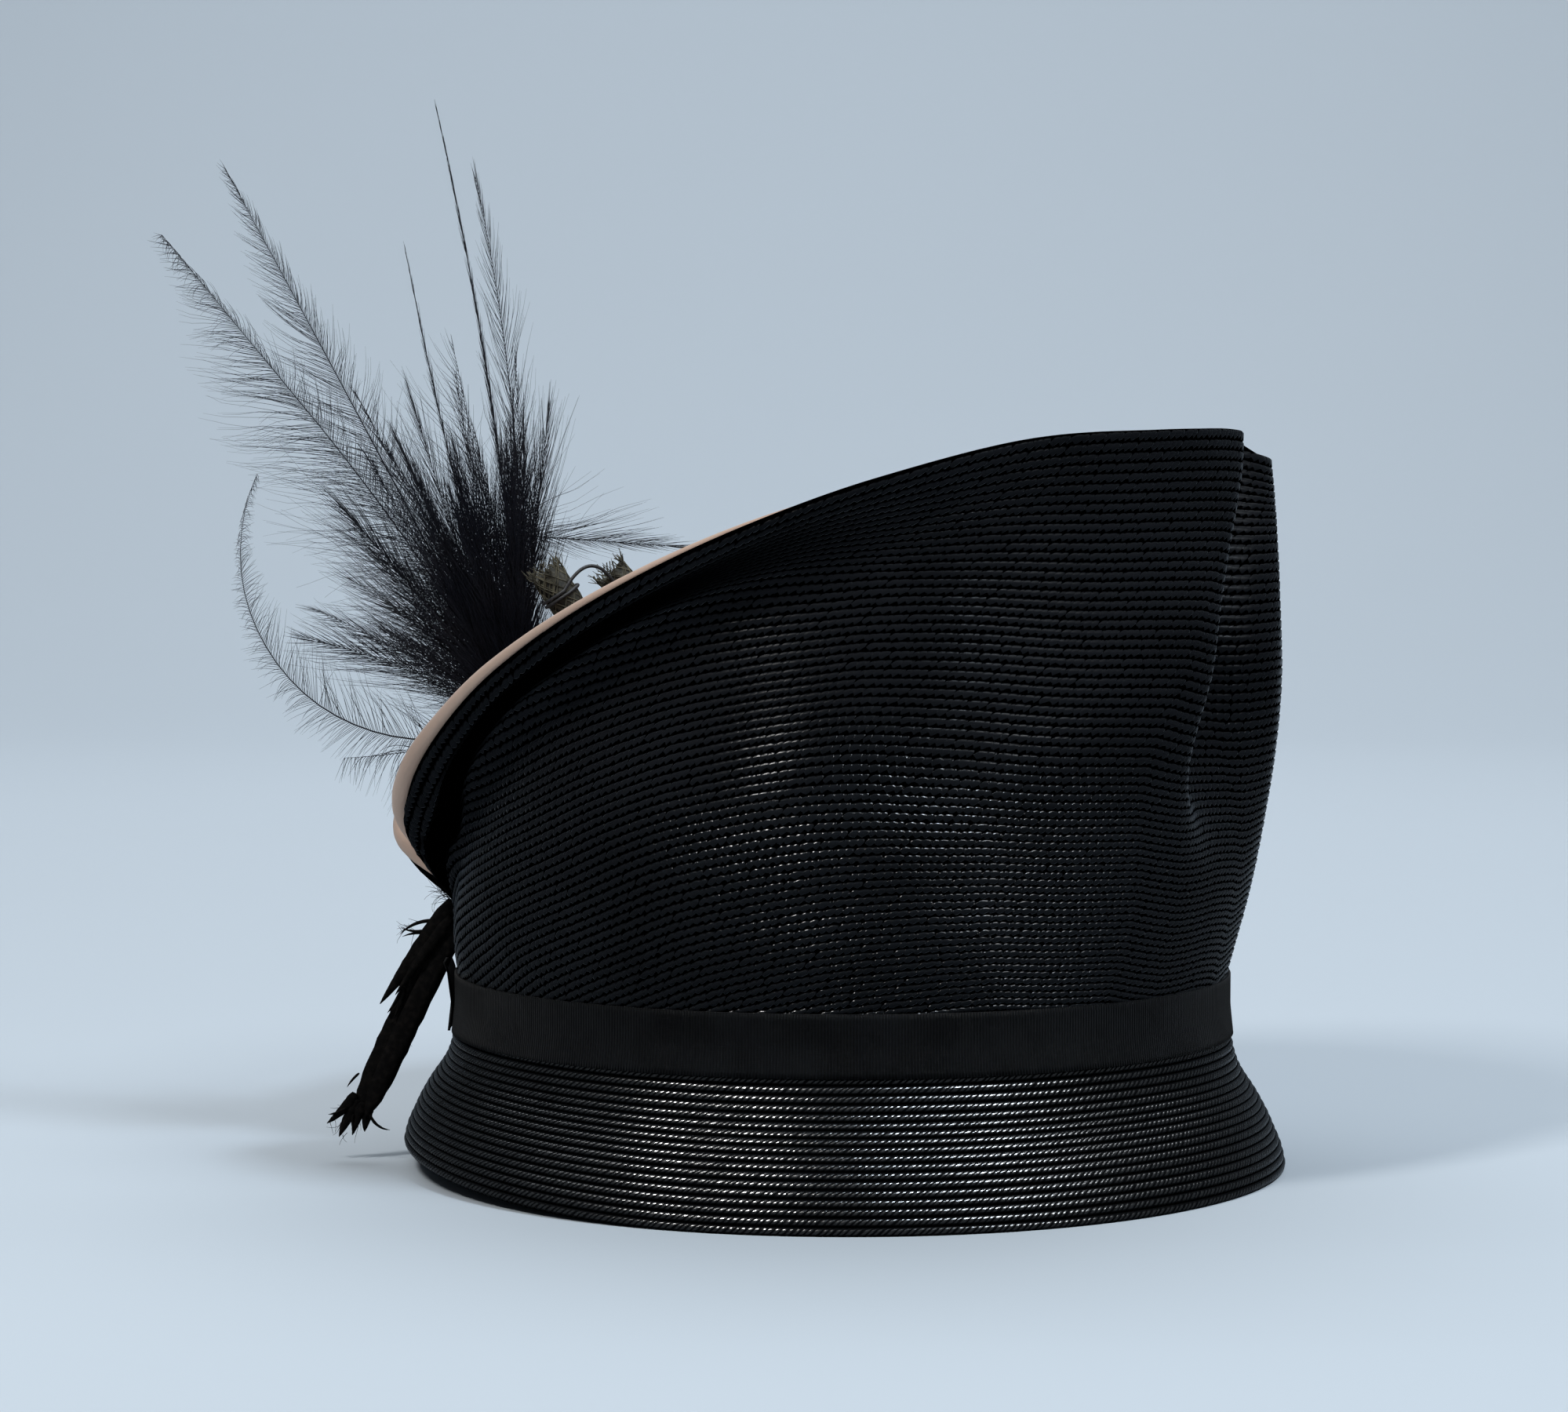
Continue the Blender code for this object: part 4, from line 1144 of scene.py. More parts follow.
class HAT_OT_facing(bpy.types.Operator):
    """Build the cloth facing and its padded roll"""

    bl_idname = "hat.facing"
    bl_label = "Facing"

    def execute(self, context):
        angles = wall_angles(FACING_COLUMNS)
        wall = (angles, *wall_lines(angles))
        roll = read(WALL, "angle", from_back(angles), "roll")
        radius = mix(FACING / 2, ROLL_RADIUS, roll)
        sunk = mix(ROLL_SUNK, -ROLL_PROUD, roll)
        sheet, flat = facing_sheet(wall, wall[2][:, -1] - np.maximum(sunk, 0) - 0.9 * radius)
        cloth = cloth_material(context.scene.hat_cloth)
        settled(sheet, "brim_facing", cloth)
        cut_area(sheet)
        tube = facing_roll(wall, radius, sunk)
        settled(tube, "brim_facing", cloth)
        return {"FINISHED"}


def ribbon_strip(node, angles, height, clear, ups, stand, material, closed):
    """A ribbon along part of the head oval, clear of it and following the flare below."""
    bottom = flare_out(angles, (RIBBON_BELOW - GAP) / height) + clear
    low = mix(clear, bottom[:, None], (-ups / RIBBON_BELOW)[None])
    outs = np.where(ups[None] < 0, low, stand + clear)
    front, back = (
        np.stack([*oval(angles[:, None], out), np.tile(ups, (len(angles), 1)) + FLARE_HEIGHT], 2)
        for out in (outs, outs - RIBBON)
    )
    points = np.concatenate([front, back[:, ::-1]], 1)
    count, total = points.shape[:2]
    step = np.linalg.norm(np.roll(front, -1, 0) - front, axis=2)[:, 0]
    along = np.concatenate([[0], np.cumsum(step)])
    begun, ended = (np.repeat(far[:, None], total, 1) for far in (along[:-1], along[1:]))
    rise = np.tile(np.concatenate([ups, ups[::-1]]), (count, 1))
    above = np.roll(rise, -1, 1)
    corners = np.stack([begun, rise, ended, rise, ended, above, begun, above], 2)
    corners = corners[: count if closed else count - 1].reshape(-1, 2)
    faces = quads(count, total, "ik jk jm im", closed)
    obj = new_mesh(f"{node}_weave", points.reshape(-1, 3), faces, corners, "ribbon")
    if not closed:
        mended(obj, fill=True)
    return settled(obj, node, material)


class HAT_OT_ribbon(bpy.types.Operator):
    """Build the ribbon and the tab over its join"""

    bl_idname = "hat.ribbon"
    bl_label = "Ribbon"

    def execute(self, context):
        material = ribbon_material(context.scene.hat_cloth)
        angles = all_round(RIBBON_COLUMNS)
        height = FLARE_HEIGHT - GAP - FRONT_LIFT * front_share(angles)
        ups = np.linspace(-RIBBON_BELOW, RIBBON_ABOVE, 12)
        clear = GAP + RIBBON
        band = ribbon_strip("ribbon_band", angles, height, clear, ups, 0.0, material, True)
        wide = RIBBON_ABOVE + RIBBON_BELOW
        flat = (wide, cut_area(band) / wide)
        angles = 180.0 + TAB_SPAN / 2 * np.linspace(-1, 1, 17)
        top = RIBBON_ABOVE + TAB_ABOVE
        ups = np.linspace(-RIBBON_BELOW, top, 16)
        stand = np.interp(ups / top, (0.0, 0.70, 0.88, 1.0), (0.0, 0.5, 1.0, 0.6))[None] * TAB_STAND
        height, clear = FLARE_HEIGHT - GAP - FRONT_LIFT, clear * 2
        tab = ribbon_strip("ribbon_tab", angles, height, clear, ups, stand, material, False)
        wide += TAB_ABOVE
        cut_area(tab) / wide
        return {"FINISHED"}


# Feathers, as in their solid, and how each one's barbs grow: turn is where along it the bend is
# made, barb the length of the front side's in millimetres and other the back side's share of it,
# angle how far they open in degrees, tipward how they bend towards the tip, sag in millimetres,
# bare how soon they shorten, thick their number beside the usual
FEATHERS = table(
    "lean bend turn_from turn_to tilt length barb other angle tipward sag bare thick",
    (4, 9, 0.0, 1.0, 3, 1.00, 15, 0.9, 8, 0.08, 0, 2.2, 1.3),
    (-2, 15, 0.0, 1.0, 8, 0.90, 21, 1.0, 24, 0.14, 0, 0.9, 0.9),
    (27, 1, 0.0, 1.0, -4, 1.00, 27, 0.6, 46, 0.04, 1, 1.0, 2.1),
    (32, 8, 0.1, 0.6, 6, 1.00, 33, 0.5, 50, 0.02, 3, 0.9, 2.2),
    (15, -5, 0.0, 1.0, -6, 0.78, 15, 1.0, 8, 0.08, 0, 1.6, 0.9),
    (100, -128, 0.12, 1.0, 4, 0.77, 10, 2.1, 58, -0.05, 2, 1.2, 1.9),
    (108, -16, 0.0, 1.0, -4, 0.29, 16, 0.8, 50, 0.00, 6, 0.8, 1.4),
    (70, -22, 0.0, 1.0, 6, 0.29, 9, 0.9, 60, 0.05, 1, 0.8, 1.5),
    (20, -114, 0.36, 0.52, -6, 0.66, 30, 0.5, 24, 0.05, 0, 0.8, 1.4),
    (8, 4, 0.0, 1.0, 2, 0.62, 38, 0.10, 40, 0.00, 0, 0.7, 0.9),
    (23, 4, 0.0, 1.0, 12, 0.52, 26, 1.0, 8, 0.14, 0, 0.6, 2.0),
    (13, 2, 0.0, 1.0, -8, 0.42, 26, 1.0, 8, 0.14, 0, 0.6, 2.0),
    (34, 8, 0.0, 1.0, -12, 0.46, 30, 1.0, 18, 0.14, 1, 0.6, 2.0),
)
# The down at the foot of the feathers: how many sprays, and the least and the most of their
# sizes, in the same units
DOWN = table(
    "count lean lean_to bend bend_to length length_to barb angle thick",
    (38, -3, 30, -8, 14, 0.20, 0.60, 27, 16, 0.9),
    (16, 26, 62, -6, 26, 0.14, 0.40, 24, 24, 1.0),
    (6, -4, 4, -3, 3, 0.40, 0.56, 22, 8, 0.8),
)

# How long the barbs are along a shaft: (place, share of the longest)
BARB_SWELL = ((0.0, 0.55), (0.28, 1.0), (0.55, 0.95), (0.80, 0.42), (1.0, 0.05))


def leaning(lean, tilt):
    """A direction that leans from upright towards the front, and tilts towards +Y."""
    lean, tilt = math.radians(lean), math.radians(tilt)
    return Vector((-math.sin(lean) * math.cos(tilt), math.sin(tilt), math.cos(lean) * math.cos(tilt)))


def strand_path(root, lean, bend, tilt, length, steps=14, turn_from=0.0, turn_to=1.0):
    """The points of a feather's shaft, from its root to its tip, bent between two shares of it."""
    point, path = root.copy(), []
    for k in range(steps + 1):
        path.append(point.copy())
        turn = min(1.0, max(0.0, (k / steps - turn_from) / (turn_to - turn_from)))
        point += leaning(lean + bend * turn, tilt) * length / steps
    return path


def plume_root():
    """The foot of the feathers' bound head, and where they leave it."""
    up = (PLUME_FOOT - CROWN_FOOT) / CROWN_HEIGHT
    reach = (HEAD_LENGTH / 2 - STRAW - GAP) * float(crown_reach(np.array(up)))
    x = SHIFT - reach - PLUME_HEAD_RADIUS * PLUME_HEAD_TAPER - GAP * 2
    foot = Vector((x, 0.0, FLARE_HEIGHT + PLUME_FOOT))
    return foot, foot + leaning(PLUME_LEAN, 0.0) * PLUME_HEAD_HEIGHT * SPRAY_FROM


def barb_swell(n, factor):
    """How long the barbs are at each place of a shaft, beside the longest."""
    swell = n("ShaderNodeFloatCurve", {"Value": factor ** (1.0 / n["Bare"])})
    shape = swell.socket.node.mapping.curves[0].points
    shape[0].location, shape[1].location = BARB_SWELL[0], BARB_SWELL[-1]
    for place in BARB_SWELL[1:-1]:
        shape.new(*place)
    return swell


def bent_barbs(n, barbs, seed, shaft_way):
    """Barbs that sag, curl towards the shaft's tip and ruffle, given their body."""
    far = n("GeometryNodeSplineParameter", output="Factor")
    reached = n("GeometryNodeSplineParameter", output="Length")
    bent = far**2.0
    whose = n("GeometryNodeCurveOfPoint", output="Curve Index")
    curl = n["Tipward"] + n.chance(-0.10, 0.14, seed, whose)
    sag = n.joined(0.0, 0.0, n["Sag"] * bent * -1.0)
    toward = n.scaled(shaft_way, bent * curl * n["Barb Length"])
    ruffled = n.scaled(n.ruffle(75.0, 1.0), far * reached * 0.34)
    barbs = n.moved(barbs, n.vector("ADD", n.vector("ADD", sag, toward), ruffled))
    return n.tube(barbs, (1.0 - far * 0.8) * n["Barb Radius"], 3)


def feather_tree():
    """Geometry nodes that grow a shaft and its barbs along a path."""
    n = new_tree(
        "Feather", barbs=200, barb_steps=6, barb_length=0.02, other_side=1.0, open_angle=0.6, tipward=0.1,
        sag=0.003, bare=1.0, clumping=0.35, barb_radius=0.0001, shaft_radius=0.0004,
        facing=(0.0, 1.0, 0.0), seed=1,
    )
    tangent = n("GeometryNodeInputTangent")
    factor = n("GeometryNodeSplineParameter", output="Factor")
    kept = n("GeometryNodeCaptureAttribute", domain="POINT")
    kept.socket.node.capture_items.new("VECTOR", "Tangent")
    points = n("GeometryNodeResampleCurve", {"Curve": n["Geometry"], "Count": n["Barbs"]}, mode="COUNT")
    n.link(points, kept.socket.node.inputs[0])
    n.link(tangent, kept.socket.node.inputs[1])
    shaft_way = Number(n, kept.socket.node.outputs[1])
    side = n.vector("CROSS_PRODUCT", tangent, n["Facing"])
    line = n("GeometryNodeCurvePrimitiveLine", {"End": (0, 0, 1)})
    finer = n("GeometryNodeResampleCurve", {"Curve": line, "Count": n["Barb Steps"]}, mode="COUNT")
    swell = barb_swell(n, factor)
    made = []
    for turn, sign in enumerate((1.0, -1.0)):
        seed = n["Seed"] + turn * 7.0
        lumps = n.noise(1.0, factor * 17.0 + seed * 3.7, dimensions="1D")
        spread = n["Open Angle"] * (1.2 - factor * 0.55 + (lumps - 0.5) * n["Clumping"])
        spread = spread * n.chance(0.88, 1.12, seed + 1.0)
        scatter = n.chance((-0.10, -0.26, -0.10), (0.10, 0.26, 0.10), seed + 3.0, kind="FLOAT_VECTOR")
        ahead = n.scaled(tangent, n.math("COSINE", spread))
        aside = n.scaled(side, n.math("SINE", spread) * sign)
        way = n.vector("ADD", n.vector("ADD", ahead, aside), scatter)
        aim = n("FunctionNodeAlignRotationToVector", {"Vector": way}, axis="Z")
        reach = n["Barb Length"] * swell * n.chance(0.6, 1.08, seed)
        if turn:
            reach = reach * n["Other Side"]
        barbs = n.instanced(kept, finer, aim, n.joined(1.0, 1.0, reach))
        made.append(bent_barbs(n, barbs, seed, shaft_way))
    shaft = n("GeometryNodeResampleCurve", {"Curve": n["Geometry"], "Count": 30}, mode="COUNT")
    made.append(n.tube(shaft, (1.0 - factor * 0.88) * n["Shaft Radius"], 6))
    return n.close(*made)


def strand_tree():
    """Geometry nodes that give bare threads and wires their body."""
    n = new_tree("Strands", radius=0.0002, tapering=0.7, waver=0.0, sides=4)
    far = n("GeometryNodeSplineParameter", output="Factor")
    wavy = n.moved(n["Geometry"], n.scaled(n.ruffle(260.0, 2.0), n["Waver"]))
    return n.close(n.tube(wavy, (1.0 - far * n["Tapering"]) * n["Radius"], n["Sides"]))


def downy_rows(share, rng):
    """The down's sprays, as rows like the feathers'."""
    for sizes in rows_of(DOWN):
        for _ in range(round(sizes["count"] * share)):
            spans = {name: (sizes[name], sizes[f"{name}_to"]) for name in ("lean", "bend", "length")}
            row = {name: rng.uniform(*span) for name, span in spans.items()}
            row |= {name: sizes[name] * rng.uniform(0.8, 1.15) for name in ("barb", "angle", "thick")}
            spans = {"tilt": (-15, 15), "sag": (-1, 2), "tipward": (0.0, 0.2)}
            row |= {name: rng.uniform(*span) for name, span in spans.items()}
            yield dict(row, other=1.0, bare=0.7, turn_from=0.0, turn_to=1.0)


def stray_paths(root, count, rng):
    """The paths of loose barbs."""
    paths = []
    for _ in range(count):
        lean, bend = rng.uniform(-20, 75), rng.uniform(-60, 70)
        rise = root + leaning(rng.uniform(0, 50), rng.uniform(-12, 12)) * rng.uniform(0.0, 0.05)
        paths.append(strand_path(rise, lean, bend, rng.uniform(-14, 14), rng.uniform(0.02, 0.055)))
    return paths


class HAT_OT_plume(bpy.types.Operator):
    """Grow the feathers"""

    bl_idname = "hat.plume"
    bl_label = "Plume"

    def execute(self, context):
        plume = context.scene.hat_plume
        tree = feather_tree()
        finish = feather_material(plume)
        foot, root = plume_root()
        rng = np.random.default_rng(plume.seed)
        whole = rows_of(FEATHERS)
        for k, row in enumerate(whole + list(downy_rows(plume.down, rng))):
            downy = k >= len(whole)
            length = row["length"] * PLUME_LENGTH
            turn = 2.4 * k
            nudge = Vector((0.2 * math.cos(turn), 0.3 * math.sin(turn), 0.0)) * PLUME_HEAD_RADIUS
            bend = (row["lean"], row["bend"], row["tilt"], length, 20, row["turn_from"], row["turn_to"])
            obj = grown_on(
                f"feather_{k + 1}",
                [[foot + nudge * 0.5] + strand_path(root + nudge, *bend)],
                tree,
                barbs=int(plume.density * length * row["thick"]),
                barb_steps=4 if downy else 6,
                barb_length=row["barb"] / 1000,
                other_side=row["other"],
                open_angle=math.radians(row["angle"]),
                tipward=row["tipward"],
                sag=row["sag"] / 1000,
                bare=row["bare"],
                clumping=plume.clumping,
                barb_radius=plume.barb_radius * (1.15 if downy else 1.0),
                shaft_radius=plume.shaft_radius * (0.5 if downy else 1.0),
                facing=(0.25 * math.sin(turn), 1.0, 0.0),
                seed=plume.seed + k,
                finish=finish,
            )
            settled(obj, "plume")
        loose = grown_on(
            "stray_barbs", stray_paths(root, plume.strays, rng), strand_tree(), finish=finish,
            radius=plume.barb_radius * 0.9, tapering=0.7, waver=0.002, sides=3,
        )
        settled(loose, "plume")
        return {"FINISHED"}


# The ends of the ragged tail's main strip
TAIL_TOP = (-0.0655, -0.0050, 0.0672)
TAIL_FOOT = (-0.0945, -0.0050, 0.0096)
TAIL_SEED = 8

# Its shreds: where along the strip they leave it and how far off its middle, their length and
# greatest half width, the way they go, their bend, and how far in front of the strip they lie,
# in millimetres and degrees
SHREDS = table(
    "along across length wide lean bend front",
    (0.00, 0.0, 63, 4.3, 153, 3, 0.0),
    (0.02, 1.4, 60, 2.6, 152, 5, -0.9),
    (0.00, -2.2, 33, 2.4, 146, -3, -1.4),
    (0.06, -0.8, 25, 1.5, 143, 3, -2.0),
    (0.10, -3.4, 11, 0.5, 84, 56, -1.0),
    (0.13, -3.4, 9, 0.45, 112, -48, -1.2),
    (0.16, -3.2, 8, 0.4, 76, 40, -0.8),
    (0.40, -3.6, 9, 0.7, 168, -12, -1.2),
    (0.42, -3.9, 7, 0.5, 158, -20, -1.0),
    (0.88, -2.6, 11, 1.3, 147, -22, -0.6),
    (0.90, -1.4, 11, 1.5, 152, 4, -0.4),
    (0.90, 0.4, 9, 1.3, 156, 12, -0.6),
    (0.90, 2.4, 7, 1.3, 160, 16, -0.4),
    (0.93, 3.4, 7, 0.4, 200, 70, -0.9),
    (0.95, -3.0, 5, 0.4, 124, -30, -1.0),
    (0.96, -0.5, 5, 0.35, 165, 40, -1.0),
    (0.80, -4.0, 5, 0.35, 130, 20, -0.5),
)

# Where the points across a shred lie, beside its half width, and how thick it is
SHRED_SHARES = (-1.0, -0.5, 0.0, 0.5, 1.0)
SHRED_THICK = 0.0007

# A shred longer than this, in millimetres, is torn blunt, one longer than the next has more
# points, and one longer than the last sheds threads
BLUNT_FROM = 55
LONG_FROM = 20
SHEDS_FROM = 8
SHED_THREADS = 5

# The tuft of loose threads at the tail's head
TUFT_THREADS = 34
TUFT_SHIFT = (-0.0018, 0.0, 0.0022)
TUFT_SPREAD = 0.0014


def shred(path, widths, rng, crumple):
    """Points and faces of a flat strip along a path, crumpled, and closed at both ends."""
    points = []
    for k, point in enumerate(path):
        ahead = (path[min(k + 1, len(path) - 1)] - path[max(k - 1, 0)]).normalized()
        side = ahead.cross(Vector((0, 1, 0))).normalized()
        up = side.cross(ahead).normalized()
        bumps = list(zip(SHRED_SHARES, rng.normal(0, crumple, len(SHRED_SHARES))))
        for face, across in ((1, bumps), (-1, bumps[::-1])):
            for share, bump in across:
                height = bump + face * SHRED_THICK / 2 * (1.15 - abs(share))
                points.append(point + side * widths[k] * share + up * height)
    count, rows = 2 * len(SHRED_SHARES), len(path)
    faces = [tuple(face) for face in quads(rows, count, "ik im jm jk", False).tolist()]
    return points, faces + [tuple(range(count))[::-1], tuple((rows - 1) * count + k for k in range(count))]


def tuft(top, rng):
    """The paths of the loose threads at the tail's head."""
    paths = []
    for _ in range(TUFT_THREADS):
        begin = top + Vector(TUFT_SHIFT) + Vector(rng.uniform(-1, 1, 3)) * TUFT_SPREAD
        lean, bend, tilt = rng.uniform(40, 125), rng.uniform(-160, 160), rng.uniform(-20, 20)
        paths.append(strand_path(begin, lean, bend, tilt, rng.uniform(0.003, 0.009), 9))
    return paths


class HAT_OT_tail(bpy.types.Operator):
    """Build the ragged strip that hangs out of the notch"""

    bl_idname = "hat.tail"
    bl_label = "Ragged Tail"

    def execute(self, context):
        rng = np.random.default_rng(TAIL_SEED)
        finish = fibre_material()
        top, foot = Vector(TAIL_TOP), Vector(TAIL_FOOT)
        side = (foot - top).cross(Vector((0, 1, 0))).normalized()
        points, faces, threads = [], [], []
        for row in rows_of(SHREDS):
            length, wide, lean = row["length"], row["wide"], row["lean"]
            begin = top.lerp(foot, row["along"]) + side * row["across"] / 1000
            begin.y += row["front"] / 1000
            steps = 26 if length > LONG_FROM else 12
            path = strand_path(begin, lean, row["bend"], 0.0, length / 1000, steps)
            shares = np.linspace(0, 1, steps + 1)
            blunt = 14 if length > BLUNT_FROM else 3
            widths = wide / 1000 * np.minimum(1.0, 0.6 + shares * 3) * (1 - shares**blunt * 0.95)
            widths = widths * (1 + rng.normal(0, 0.03, steps + 1))
            more, ends = shred(path, widths, rng, 0.00012 if wide > 1 else 0.00005)
            faces += [tuple(v + len(points) for v in face) for face in ends]
            points += more
            for _ in range(SHED_THREADS if length > SHEDS_FROM else 0):
                begin = path[int(rng.uniform(0.2, 1.0) * steps)] + side * rng.uniform(-1, 1) * wide / 1000
                way, bend = lean + rng.uniform(-50, 50), rng.uniform(-60, 60)
                threads.append(strand_path(begin, way, bend, 0.0, rng.uniform(0.002, 0.005), 6))
        threads += tuft(top, rng)
        tail = mended(new_mesh("ragged_tail_shreds", points, faces))
        settled(tail, "ragged_tail", finish)
        loose = grown_on(
            "ragged_tail_threads", threads, strand_tree(), finish=finish,
            radius=0.00009, tapering=0.6, waver=0.0008, sides=3,
        )
        settled(loose, "ragged_tail")
        return {"FINISHED"}


# Where the two stems stand on the crown, how they lean, and their share of the length
STEMS = table("angle reach lean tilt length", (-148, 0.62, 32, -4, 1.00), (-142, 0.40, 42, -6, 0.92))

# The net's threads each way round a stem, and the loose ones at its top
NET_THREADS = 26
FRAYS = 46
STEM_SEED = 21


def crown_point(angle, up):
    """A point outside the crown."""
    x, y = oval(np.array(angle, float), -STRAW - GAP)
    reach = float(crown_reach(np.array(up)))
    level = FLARE_HEIGHT + CROWN_FOOT + CROWN_HEIGHT * up
    return Vector((float(x - SHIFT) * reach, float(y) * reach, level))


def stem_axis(number):
    """A stem's foot, just clear of the crown, its direction and its length."""
    row = rows_of(STEMS)[number]
    direction = leaning(row["lean"], row["tilt"])
    low, high = 0.5, 1.0
    for _ in range(30):
        middle = (low + high) / 2
        low, high = (middle, high) if float(crown_reach(np.array(middle))) > row["reach"] else (low, middle)
    seat = crown_point(row["angle"], low)
    up = crown_point(row["angle"], low + 0.001) - crown_point(row["angle"], low - 0.001)
    normal = Vector((-seat.y, seat.x, 0.0)).cross(up).normalized()
    clear = (STEM_RADIUS * normal.cross(direction).length + GAP * 2) / normal.dot(direction)
    return seat + direction * clear + Vector((SHIFT, 0, 0)), direction, STEM_LENGTH * row["length"]


def wire_route(steps=60):
    """Round the first stem, off it at a tangent, and over in an arch to the side of the second."""
    (foot, direction, _), (other, heading, _) = stem_axis(0), stem_axis(1)
    bend = STEM_RADIUS + GAP + WIRE_RADIUS
    centre = foot + direction * STEM_LENGTH * WIRE_AT
    target = other + heading * STEM_LENGTH * WIRE_END_AT
    toward = (target - centre) - direction * (target - centre).dot(direction)
    toward.normalize()
    across = direction.cross(toward)
    points = []
    for k in range(steps + 1):
        turn = math.tau * (WIRE_TURNS * (k / steps - 1) - 0.25)
        climb = direction * WIRE_RADIUS * WIRE_PITCH * k / steps
        points.append(centre + climb + (toward * math.cos(turn) + across * math.sin(turn)) * bend)
    start = points[-1]
    beside = (start - target) - heading * (start - target).dot(heading)
    finish = target + beside.normalized() * bend
    for k in range(1, steps):
        t = k / (steps - 1)
        points.append(start.lerp(finish, t) + Vector((0, 0, WIRE_ARCH)) * 4 * t * (1 - t))
    return points


def net_tree():
    """Geometry nodes that cross threads round an upright tube."""
    n = new_tree(
        "Net Tube", threads=24, tube_radius=0.004, tube_length=0.04,
        turns=1.5, thread_radius=0.00015, seed=1,
    )
    made = []
    for sign in (1.0, -1.0):
        inputs = {"Start Radius": n["Tube Radius"], "End Radius": n["Tube Radius"]}
        inputs |= {"Resolution": 48, "Rotations": n["Turns"], "Reverse": sign < 0}
        spiral = n("GeometryNodeCurveSpiral", {"Height": n["Tube Length"], **inputs})
        index = n("GeometryNodeInputIndex")
        share = (index + n.chance(-0.25, 0.25, n["Seed"] + sign)) / n["Threads"]
        swell = n.chance(0.98, 1.04, n["Seed"] + (sign + 4))
        size = n.joined(swell, swell, n.chance(0.95, 1.05, n["Seed"] + (sign + 9)))
        points = n("GeometryNodePoints", {"Count": n["Threads"]})
        around = n.instanced(points, spiral, n.joined(0.0, 0.0, share * math.tau), size)
        made.append(n.tube(around, n["Thread Radius"], 4))
    return n.close(*made)


def stem_core(name, foot, direction, length):
    """The stiffened tube that the net lies on, open and ragged at its top."""
    turn = direction.to_track_quat("Z", "Y")
    sides = 40
    bore = 1 - STEM_WALL / STEM_RADIUS
    hollow = 1 - STEM_HOLLOW / length
    rings = [(0.0, 0.0), (STEM_TAPER, 0.0), (STEM_TAPER, 0.25), (0.94, 0.6), (0.98, 0.8), (0.97, 0.97)]
    rings += [(bore, 0.97), (bore * 0.96, hollow), (0.0, hollow)]
    points = []
    for out, up in rings:
        for j in range(sides):
            spoke = math.tau * j / sides
            ragged = (math.sin(spoke * 3 + 1) + math.sin(spoke * 7)) * 0.010 if up > 0.9 else 0.0
            dent = 1 - 0.05 * math.sin(spoke * 2 + 1 + 3 * up)
            place = Vector((math.cos(spoke), math.sin(spoke), 0)) * out * dent * STEM_RADIUS
            points.append(foot + turn @ (place + Vector((0, 0, (up + ragged) * length))))
    return mended(new_mesh(name, points, quads(len(rings), sides, "ik im jm jk", False)), merge=True)


def fray_paths(foot, direction, length, rng):
    """The paths of the loose threads at a stem's top."""
    aim, paths = direction.to_track_quat("Z", "Y"), []
    for _ in range(FRAYS):
        spoke = rng.uniform(0, math.tau)
        out = aim @ Vector((math.cos(spoke), math.sin(spoke), 0.0))
        begin = foot + direction * length * rng.uniform(0.94, 0.99) + out * STEM_RADIUS * 0.97
        way = (direction + out * rng.uniform(-0.3, 0.9)).normalized()
        tip = begin + way * rng.uniform(0.0012, 0.0042)
        paths.append([begin, begin.lerp(tip, 0.5) + Vector(rng.normal(0, 0.0003, 3)), tip])
    return paths


class HAT_OT_stems(bpy.types.Operator):
    """Build the two net-covered flower stems and the wire that ties them"""

    bl_idname = "hat.stems"
    bl_label = "Flower Stems"

    def execute(self, context):
        net, size = net_material(), stiffening_material()
        tree, threads = net_tree(), strand_tree()
        rng = np.random.default_rng(STEM_SEED)
        for k in range(2):
            foot, direction, length = stem_axis(k)
            node = f"flower_stem_{k + 1}"
            settled(stem_core(f"{node}_core", foot, direction, length), node, size)
            cover = grown_on(
                f"{node}_net", [[Vector(), Vector((0, 0, length))]], tree, finish=net, seed=4 + k,
                threads=NET_THREADS, thread_radius=0.00017, turns=length * 0.8 / (math.tau * STEM_RADIUS),
                tube_radius=STEM_RADIUS * 0.99, tube_length=length * 0.99,
            )
            turn = direction.to_track_quat("Z", "Y").to_matrix().to_4x4()
            turn.translation = foot
            cover.data.transform(turn)
            settled(cover, node)
            fray = grown_on(
                f"{node}_frays", fray_paths(foot, direction, length, rng), threads, finish=net,
                radius=0.00013, tapering=0.5, waver=0.0005, sides=4,
            )
            settled(fray, node)
        wire = grown_on(
            "stem_wire_wound", [wire_route()], threads, finish=wire_material(),
            radius=WIRE_RADIUS, tapering=0.0, waver=0.0, sides=10,
        )
        settled(wire, "stem_wire")
        return {"FINISHED"}


# The lights: the way each shines from, in degrees to the right of the camera and up, how far off
# it stands and its size in metres, its share of the key power and its colour
LIGHTS = table(
    "across up away width height power red green blue",
    (-42, 50, 1.5, 0.16, 0.36, 0.75, 1.00, 0.99, 0.97),
    (42, 60, 1.5, 0.24, 0.20, 0.60, 0.78, 0.89, 1.00),
    (52, 46, 1.6, 0.45, 0.45, 0.42, 0.93, 0.97, 1.00),
)
COOL = (0.92, 0.96, 1.0)
ROOM_COLOUR = (0.80, 0.90, 1.0, 1)

# The floor: how far it reaches to the sides and in front, where it bends up behind and how
# roundly, and where the backdrop ends
FLOOR_HALF = 7.0
FLOOR_FRONT = -6
FLOOR_BEND_AT = 1.6
FLOOR_BEND = 1.4
BACKDROP_TOP = (3.0, 5.0)

# The camera: its place, and how far it looks down and to the left, in degrees
CAMERA_AT = (SHIFT, -1.0, 0.180)
CAMERA_DOWN = 3.50
CAMERA_LEFT = 0.87


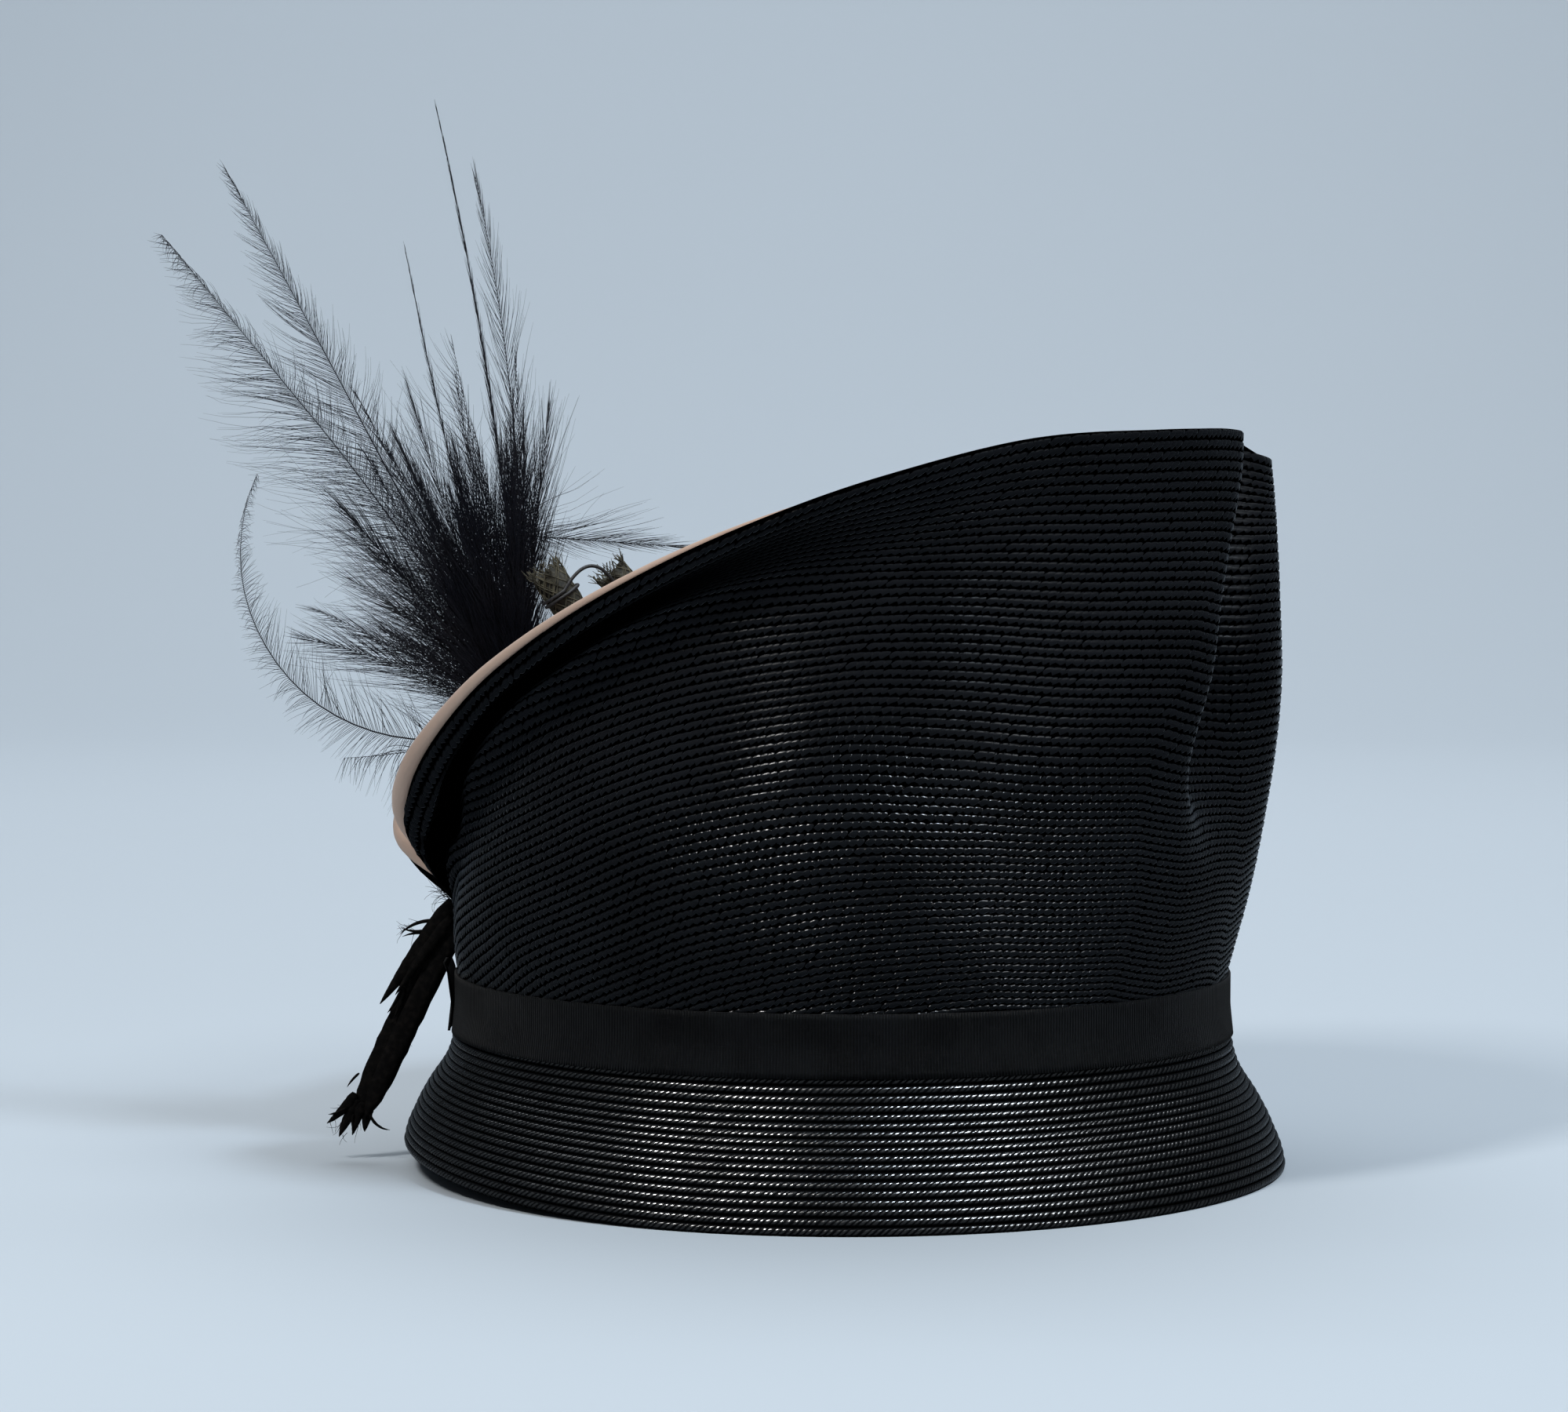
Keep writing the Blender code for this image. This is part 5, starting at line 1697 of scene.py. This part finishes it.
def soft_box(name, place, target, size, power, colour):
    """A soft rectangular light that faces a point."""
    light = bpy.data.lights.new(name, "AREA")
    light.shape = "RECTANGLE"
    light.size, light.size_y = size
    light.energy = power
    light.color = colour
    obj = bpy.data.objects.new(name, light)
    obj.location = place
    obj.rotation_euler = (Vector(target) - Vector(place)).to_track_quat("-Z", "Y").to_euler()
    bpy.context.scene.collection.objects.link(obj)


def paper_floor(stage):
    """The floor, bent up behind into a backdrop."""
    bend = [(y, 0.0) for y in np.linspace(FLOOR_FRONT, FLOOR_BEND_AT, 12)]
    for turn in np.linspace(0, math.pi / 2, 14)[1:]:
        rise = FLOOR_BEND - FLOOR_BEND * math.cos(turn)
        bend.append((FLOOR_BEND_AT + FLOOR_BEND * math.sin(turn), rise))
    bend.append(BACKDROP_TOP)
    points = [(x, y, z) for y, z in bend for x in (-FLOOR_HALF, FLOOR_HALF)]
    faces = [(2 * k, 2 * k + 1, 2 * k + 3, 2 * k + 2) for k in range(len(bend) - 1)]
    floor = new_mesh("paper_floor", points, faces)
    floor.data.materials.append(floor_material(stage))
    floor.visible_glossy = False


def lights(scene, stage):
    """The soft boxes, the broad lights and the room's own."""
    aim = Vector((SHIFT, 0.0, 0.10))
    for k, row in enumerate(rows_of(LIGHTS)):
        across, up = math.radians(row["across"]), math.radians(row["up"])
        way = Vector((math.sin(across) * math.cos(up), -math.cos(across) * math.cos(up), math.sin(up)))
        colour = (row["red"], row["green"], row["blue"])
        power, size = row["power"] * stage.key_power, (row["width"], row["height"])
        soft_box(f"soft_box_{k + 1}", aim + way * row["away"], aim, size, power, colour)
    above, behind = stage.fill_power, stage.backdrop_power
    soft_box("overhead", (SHIFT, 1.1, 2.6), (SHIFT, 1.0, 0.0), (3.4, 2.2), above, COOL)
    soft_box("backdrop_light", (SHIFT, 0.9, 1.7), (SHIFT, 2.7, 0.2), (3.0, 0.8), behind, COOL)
    scene.world = bpy.data.worlds.new("room")
    scene.world.use_nodes = True
    room = scene.world.node_tree.nodes["Background"].inputs
    room[0].default_value = ROOM_COLOUR
    room[1].default_value = stage.room_light


def camera(scene, stage):
    """The camera at the photo's place."""
    eye = bpy.data.objects.new("camera", bpy.data.cameras.new("camera"))
    eye.data.lens = stage.lens
    eye.data.sensor_width = 36.0
    eye.location = CAMERA_AT
    eye.rotation_euler = (math.radians(90 - CAMERA_DOWN), 0.0, math.radians(CAMERA_LEFT))
    scene.collection.objects.link(eye)
    scene.camera = eye


class HAT_OT_stage(bpy.types.Operator):
    """Set the floor, the lights and the camera"""

    bl_idname = "hat.stage"
    bl_label = "Stage"

    def execute(self, context):
        stage = context.scene.hat_stage
        paper_floor(stage)
        lights(context.scene, stage)
        camera(context.scene, stage)
        context.scene.view_settings.view_transform = "Standard"
        return {"FINISHED"}


class HAT_PT_panel(bpy.types.Panel):
    """The hat's pieces and their settings"""

    bl_idname = "HAT_PT_panel"
    bl_label = "Straw Hat"
    bl_space_type = "VIEW_3D"
    bl_region_type = "UI"
    bl_category = "Straw Hat"

    def draw(self, context):
        for group in GROUPS:
            box = self.layout.box()
            settings = getattr(context.scene, group)
            for name in settings.bl_rna.properties.keys():
                if name not in ("rna_type", "name"):
                    box.prop(settings, name)
        for operator in OPERATORS:
            self.layout.operator(operator.bl_idname)


GROUPS = {"hat_straw": HatStraw, "hat_cloth": HatCloth, "hat_plume": HatPlume, "hat_stage": HatStage}
OPERATORS = (
    HAT_OT_stage,
    HAT_OT_upturned_brim,
    HAT_OT_lower_brim,
    HAT_OT_crown,
    HAT_OT_facing,
    HAT_OT_ribbon,
    HAT_OT_plume,
    HAT_OT_tail,
    HAT_OT_stems,
)


def register():
    for name, group in GROUPS.items():
        bpy.utils.register_class(group)
        setattr(bpy.types.Scene, name, PointerProperty(type=group))
    for made in (*OPERATORS, HAT_PT_panel):
        bpy.utils.register_class(made)


def unregister():
    for made in reversed((*OPERATORS, HAT_PT_panel)):
        bpy.utils.unregister_class(made)
    for name, group in GROUPS.items():
        delattr(bpy.types.Scene, name)
        bpy.utils.unregister_class(group)


def main():
    register()
    for operator in OPERATORS:
        group, name = operator.bl_idname.split(".")
        getattr(getattr(bpy.ops, group), name)()


if __name__ == "__main__":
    main()
